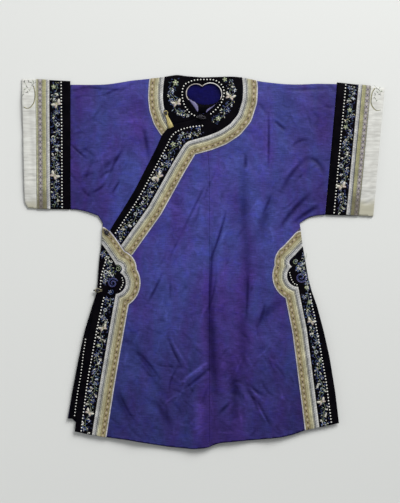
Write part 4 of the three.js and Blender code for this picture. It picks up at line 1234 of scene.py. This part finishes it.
# A winding spray along a border, worked round the motifs that are listed for it
def addBorderSpray(work, path, halfWidth, seed, placed=(), bend=64):
    random = np.random.default_rng(seed)
    line = smoothLine(path if len(path) > 2 else [path[0], np.mean(path, axis=0), path[1]], 40 * len(path))
    lengths = lengthsOf(line)
    tangent = np.gradient(line, axis=0)
    total = lengths[-1]

    def at(s, across):
        x, y, tx, ty = (np.interp(s, lengths, row) for row in (*line.T, *tangent.T))
        size = math.hypot(tx, ty)
        return x - across * ty / size, y + across * tx / size, math.atan2(ty, tx)

    def clear(x, y):
        return all(math.hypot(x - spot[1], y - spot[2]) > sprayLook["clear"] for spot in placed)

    for s in np.arange(2, total - 2, sprayLook["ground"]):
        for side in (-1, 1):
            x, y, angle = at(s + random.uniform(-2, 2), side * random.uniform(0.1, 0.85) * halfWidth)
            addPetal(work, x, y, angle + random.uniform(-2.6, 2.6), random.uniform(6.5, 10.5),
                     random.uniform(2.8, 4.4), pickTone(random, groundTones), 0.5, random.uniform(-0.2, 0.2))
    sway = lambda s: 0.42 * halfWidth * math.sin(2 * math.pi * s / bend)
    addCord(work, [at(s, sway(s))[:2] for s in np.arange(1, total, 3.2)], 0.45, "sage")
    side = 1
    for s in np.arange(3, total - 4, sprayLook["leaf"]):
        x, y, angle = at(s, sway(s) + side * random.uniform(0, 0.35) * halfWidth)
        if clear(x, y):
            addPetal(work, x, y, angle + side * random.uniform(0.4, 1.5), random.uniform(6, 9),
                     random.uniform(2.1, 3.2), pickTone(random, leafTones), 0.95, 0.14 * side)
        side = -side
    for k, s in enumerate(np.arange(9, total - 6, sprayLook["motif"])):
        x, y, angle = at(s + random.uniform(-3, 3), (1 if k % 2 else -1) * 0.48 * halfWidth)
        if clear(x, y):
            if k % 3 == 1:
                addSprig(work, x, y, 9.5, random.uniform(0, 6.28), random)
            else:
                addBlueFlower(work, x, y, random.uniform(7.5, 9.5), random.uniform(0, 6.28), random)
        bx, by, _ = at(s + 13, (-1 if k % 2 else 1) * random.uniform(0.3, 0.7) * halfWidth)
        if clear(bx, by):
            addSprig(work, bx, by, 7.5, random.uniform(0, 6.28), random)
    for kind, x, y, size, turn in placed:
        if kind == "butterfly":
            addButterfly(work, x, y, size, turn)
        elif kind == "ring":
            addRingFlower(work, x, y, size, turn, ("white", "pale"))
        else:
            addFlower(work, x, y, size, turn, ("sage", "ochre", "white"), 5)


def finishStitching(work, name):
    centres = np.array([np.mean([p[:2] for p in part[0]], axis=0) for part in work["parts"]]) * mm
    starts, ends = segmentsOf(work["loops"])
    onSatin = insideLoops(centres, work["loops"]) & (nearestOn(centres, starts, ends)[0] > work["margin"] * mm)
    kept = [part for part, inside in zip(work["parts"], onSatin) if inside or not part[3]]
    points, faces = joinMeshes([part[:2] for part in kept])
    tones = [part[2] for part in kept for _ in part[1]]
    x, y = points[:, 0] * mm, points[:, 1] * mm
    z = panelTop(work["layer"], x, y) + (work["lift"] + points[:, 2]) * mm
    made = newObject(name, np.column_stack([x, y, z]), faces, flosses, tones)
    return made


# What is sewn on each piece: its layer, lift over the panel, margin to the edge, name, and each kind of work
stitchPlans = [
    ("sleeve_right_satin", "inner", 0.2, 2.2, "sleeveRightEmbroidery", [
        (addBorderSpray, [(-429.5, 523), (-428, 340), (-427, 157)], 14, 11, [("butterfly", -424, 457, 16, 2.2),
            ("ring", -422, 398, 7, 0), ("butterfly", -432, 249, 16, 0.9), ("flower", -434, 508, 7, 0.4)]),
        (addDots, [(-412.5, 521), (-410, 340), (-409.5, 158)]),
    ]),
    ("sleeve_left_satin", "inner", 0.2, 2.2, "sleeveLeftEmbroidery", [
        (addBorderSpray, [(433.5, 512), (416, 327), (398.5, 142)], 14, 12, [("butterfly", 402, 218, 16, 2.0),
            ("ring", 400, 278, 7, 0), ("flower", 425, 440, 7, 0.4), ("flower", 413, 390, 7, 0.9)]),
        (addDots, [(414, 513), (396.5, 327), (380, 142)]),
    ]),
    ("collar_satin", "inner", satinLift, 2.2, "collarEmbroidery", [
        (addBorderSpray, [(-84, 531), (-91, 498), (-86, 465), (-71, 438), (-48, 421)], 13, 13,
            [("butterfly", -77, 459, 16, 1.9), ("flower", -80, 519, 9, 0.3)], 52),
        (addDots, [(-17.3, 420), (-38.7, 432), (-53.5, 453), (-60, 475), (-60.2, 498), (-54.4, 513), (-42, 521),
            (-27.4, 526.5), (-7.1, 528.8)]),
    ]),
    ("flap_satin", "outer", satinLift, 2.2, "flapEmbroidery", [
        (addBorderSpray, [(76, 531), (82, 500), (80, 473), (70, 447), (53, 424), (28, 402)], 13, 14,
            [("butterfly", 78, 478, 16, 1.2), ("flower", 44, 415, 8, 0.2), ("flower", 63, 529, 7, 0.6)], 52),
        (addDots, [(2, 528.9), (16, 528.8), (31.2, 527.7), (47.1, 520), (57.5, 507), (60.5, 490), (58, 474),
            (52, 460), (42.5, 446.5), (22.2, 428.5)]),
        (addBorderSpray, [(-6, 381), (-40, 369), (-72, 349), (-106, 290), (-174, 169), (-218, 105), (-258, 50)], 14.5,
            15, [("butterfly", -130, 246, 19, 2.4), ("ring", -111, 304, 7, 0), ("flower", -87, 340, 8, 0.5),
            ("ring", -196, 138, 6, 0.4)]),
        (addDots, [(-2, 394), (-28, 391.5), (-54, 386), (-78, 376), (-93, 361), (-104, 338), (-122, 304), (-153, 246),
            (-192, 176), (-228, 122), (-250, 89), (-259, 76)]),
    ]),
    ("slit_right_satin", "outer", satinLift, 2.2, "slitRightEmbroidery", [
        (addBorderSpray, [(-270, -103), (-279, -138), (-296, -233), (-319, -366), (-341, -492)], 14, 16,
            [("butterfly", -290, -193, 14, 2.0), ("butterfly", -331, -438, 14, 0.8), ("ring", -284, -140, 6, 0),
            ("flower", -303, -243, 6.5, 0.5)]),
        (addDots, [(-288, -105), (-292, -121), (-299, -155), (-308, -197), (-322, -273), (-334, -340), (-341, -391),
            (-353.6, -490)]),
        (addDots, [(-279.8, 14.6), (-286, -9), (-292.3, -28), (-296.5, -48), (-298, -73)]),
        (addBorderSpray, [(-291, 30), (-277, 2), (-268, -28)], 9, 17, [("ring", -283, -30, 7, 0.3)], 40),
        (addBorderSpray, [(-290, -62), (-276, -34), (-252, -38)], 8, 20, [], 40),
        *[(addBlueFlower, *flower, np.random.default_rng(61)) for flower in ((-287, -60, 6, 0.2), (-271, -88, 7, 0.9),
            (-281, -108, 6, 0.5), (-257, -108, 6, 0.1))],
        (addScroll, -262, -62, 16, 0.4, 1.7, "lilac", 0.75),
        (addScroll, -262, -62, 13.6, 0.4, 1.5, "blue", 0.8),
        (addScroll, -246.5, -20, 9, 2.2, 1.6, "sage", 0.7, -1),
        (addScroll, -268, -88, 8, 1.0, 1.5, "blue", 0.8, -1),
        (addDots, [(-235, -47), (-232, -61), (-237, -74), (-241, -80)], 7.5, 1.9),
    ]),
    ("slit_left_satin", "outer", satinLift, 2.2, "slitLeftEmbroidery", [
        (addBorderSpray, [(297, -90), (307, -140), (320, -205), (333, -300), (344, -391), (357, -480)], 13, 18,
            [("butterfly", 313, -174, 14, 1.1), ("butterfly", 344, -406, 14, 2.2), ("ring", 328, -262, 6, 0),
            ("flower", 309, -118, 6.5, 0.5)]),
        (addDots, [(310.5, -94), (316, -128), (323, -158), (330, -201), (344.4, -279), (356.6, -350), (364.7, -413.7),
            (372.5, -474)]),
        (addBorderSpray, [(300, 26), (292, 4), (284, -18)], 9, 19, [], 40),
        (addBorderSpray, [(268, -12), (290, -30), (306, -62), (296, -82)], 9, 21, [], 40),
        *[(addBlueFlower, *flower, np.random.default_rng(62)) for flower in ((270, 2, 6, 0.2), (283, -8, 7, 0.9),
            (272, -19, 5, 0.5))],
        (addFlower, 301, -75, 6.5, 0.3, ("sage", "cream", "ochre")),
        (addScroll, 284, -45, 19, 1.2, 1.6, "lilac", 0.85, -1),
        (addScroll, 284, -45, 16, 1.2, 1.4, "blue", 0.9, -1),
        (addScroll, 268, -1, 8, 0.6, 1.5, "sage", 0.7),
        (addDots, [(250.8, -32), (253.6, -43), (258.6, -56), (265, -64), (272, -67)], 7.5, 1.9),
    ]),
    ("inner_border_satin", "inner", satinLift, 0.3, "innerBorderKnots", [
        (addDots, [(-341, -225), (-347.6, -268), (-354.6, -327), (-364.5, -383.5), (-373, -446)], 9.0, 1.9),
    ]),
]
for node, layer, lift, margin, name, steps in stitchPlans:
    work = newStitching(node, layer, lift, margin)
    for sew, *values in steps:
        sew(work, *values)
    finishStitching(work, name)

# Corner of a flower pattern that shows at the top of each cuff: an outline and small dark sprays
cuffCorners = {
    "cuff_right": (
        [(-492.6, 511), (-488.8, 491), (-488.8, 477), (-491.6, 462), (-500, 449.5), (-510.5, 444.4), (-520.7, 448.8)],
        [[(-491, 519), (-497, 512), (-504, 498), (-510.6, 492)],
         [(-519, 523), (-511.6, 508), (-518, 500), (-523.5, 483.5)],
         [(-506.3, 525), (-500, 521), (-493, 524)]]),
    "cuff_left": (
        [(500, 504), (491.4, 490), (488, 462), (495, 446), (504, 439), (515, 440)],
        [[(496, 514), (503, 505), (506, 492), (513, 486)], [(514, 508), (510, 499), (517, 494)],
         [(500, 487), (498, 476), (503, 468)]]),
}
for node, (outline, sprays) in cuffCorners.items():
    work = newStitching(node, "inner", 0.2, 0.8)
    addCord(work, smoothLine(outline, 60), 0.85, "moss")
    inward = 1.8 if node == "cuff_right" else -1.8
    addCord(work, smoothLine([(x + inward, y) for x, y in outline], 60), 0.8, "ochre")
    for k, spray in enumerate(sprays):
        addCord(work, smoothLine(spray, 30), 0.32, "sage")
        for j, (x, y) in enumerate(spray):
            for turn in (0.4 + k + j, 2.3 + k - j, 4.5 + j):
                addPetal(work, x, y, turn, 5.2, 2.0, "sage" if j % 3 == 2 else "moss", 0.6)
            addDot(work, x, y, 1.1, "night", 0.8, 6)
    finishStitching(work, pieceName(node) + "Embroidery")
print("embroidery set")

# Floor and light
floorHalf, floorDrop = 4, 0.0004  # metres
corners = [(x * floorHalf, y * floorHalf, -floorDrop) for x, y in ((-1, -1), (1, -1), (1, 1), (-1, 1))]
floor = newObject("floor", corners, [(0, 1, 2, 3)], [], body=None)
paper, _, paperShader = newMaterial("paleBoard", roughness=0.9, specular_ior_level=0.2)
paperShader.inputs["Base Color"].default_value = linear("#D1D2CF")
floor.data.materials.append(paper)


# Lights aim at the middle of the robe: kind, place, energy and how wide each is
lights = {
    "windowLight": ("SUN", (0.85, 1.25, 0.95), 2.32, {"angle": math.radians(36)}),
    "keyLight": ("AREA", (0.9, 2.6, 2.4), 69, {"shape": "DISK", "size": 1.6}),
    "fillLight": ("AREA", (-2.6, 0.2, 1.2), 8, {"shape": "DISK", "size": 1.4}),
}
for name, (kind, place, energy, extent) in lights.items():
    data = bpy.data.lights.new(name, kind)
    data.energy = energy
    for setting, value in extent.items():
        setattr(data, setting, value)
    light = bpy.data.objects.new(name, data)
    light.location = place
    light.rotation_euler = (-Vector(place)).to_track_quat("-Z", "Y").to_euler()
    scene.collection.objects.link(light)
world = bpy.data.worlds.new("softRoom")
world.use_nodes = True
world.node_tree.nodes["Background"].inputs["Color"].default_value = linear("#EEF0F2")
world.node_tree.nodes["Background"].inputs["Strength"].default_value = 0.42
scene.world = world
scene.view_settings.view_transform = "Standard"

for node, reading in readings.items():
    area = reading["area"]
    width, length = sorted(reading["cut"])
    if node.startswith("sleeve") or reading["tube"]:  # a band round the sleeve, or its front half
        length = max(reading["cut"]) * (2 if reading["tube"] else 1)
        width = max(area / length, 0.0101)  # kept at 10.1 mm or more; a cut is stated from 10 mm up
    elif node.endswith(("silver", "gold")):
        width = (goldLook if node.endswith("gold") else silverLook)["width"] * mm
        length = area / width
    if area < 0.31 * width * length:
        width = area / length / 0.8
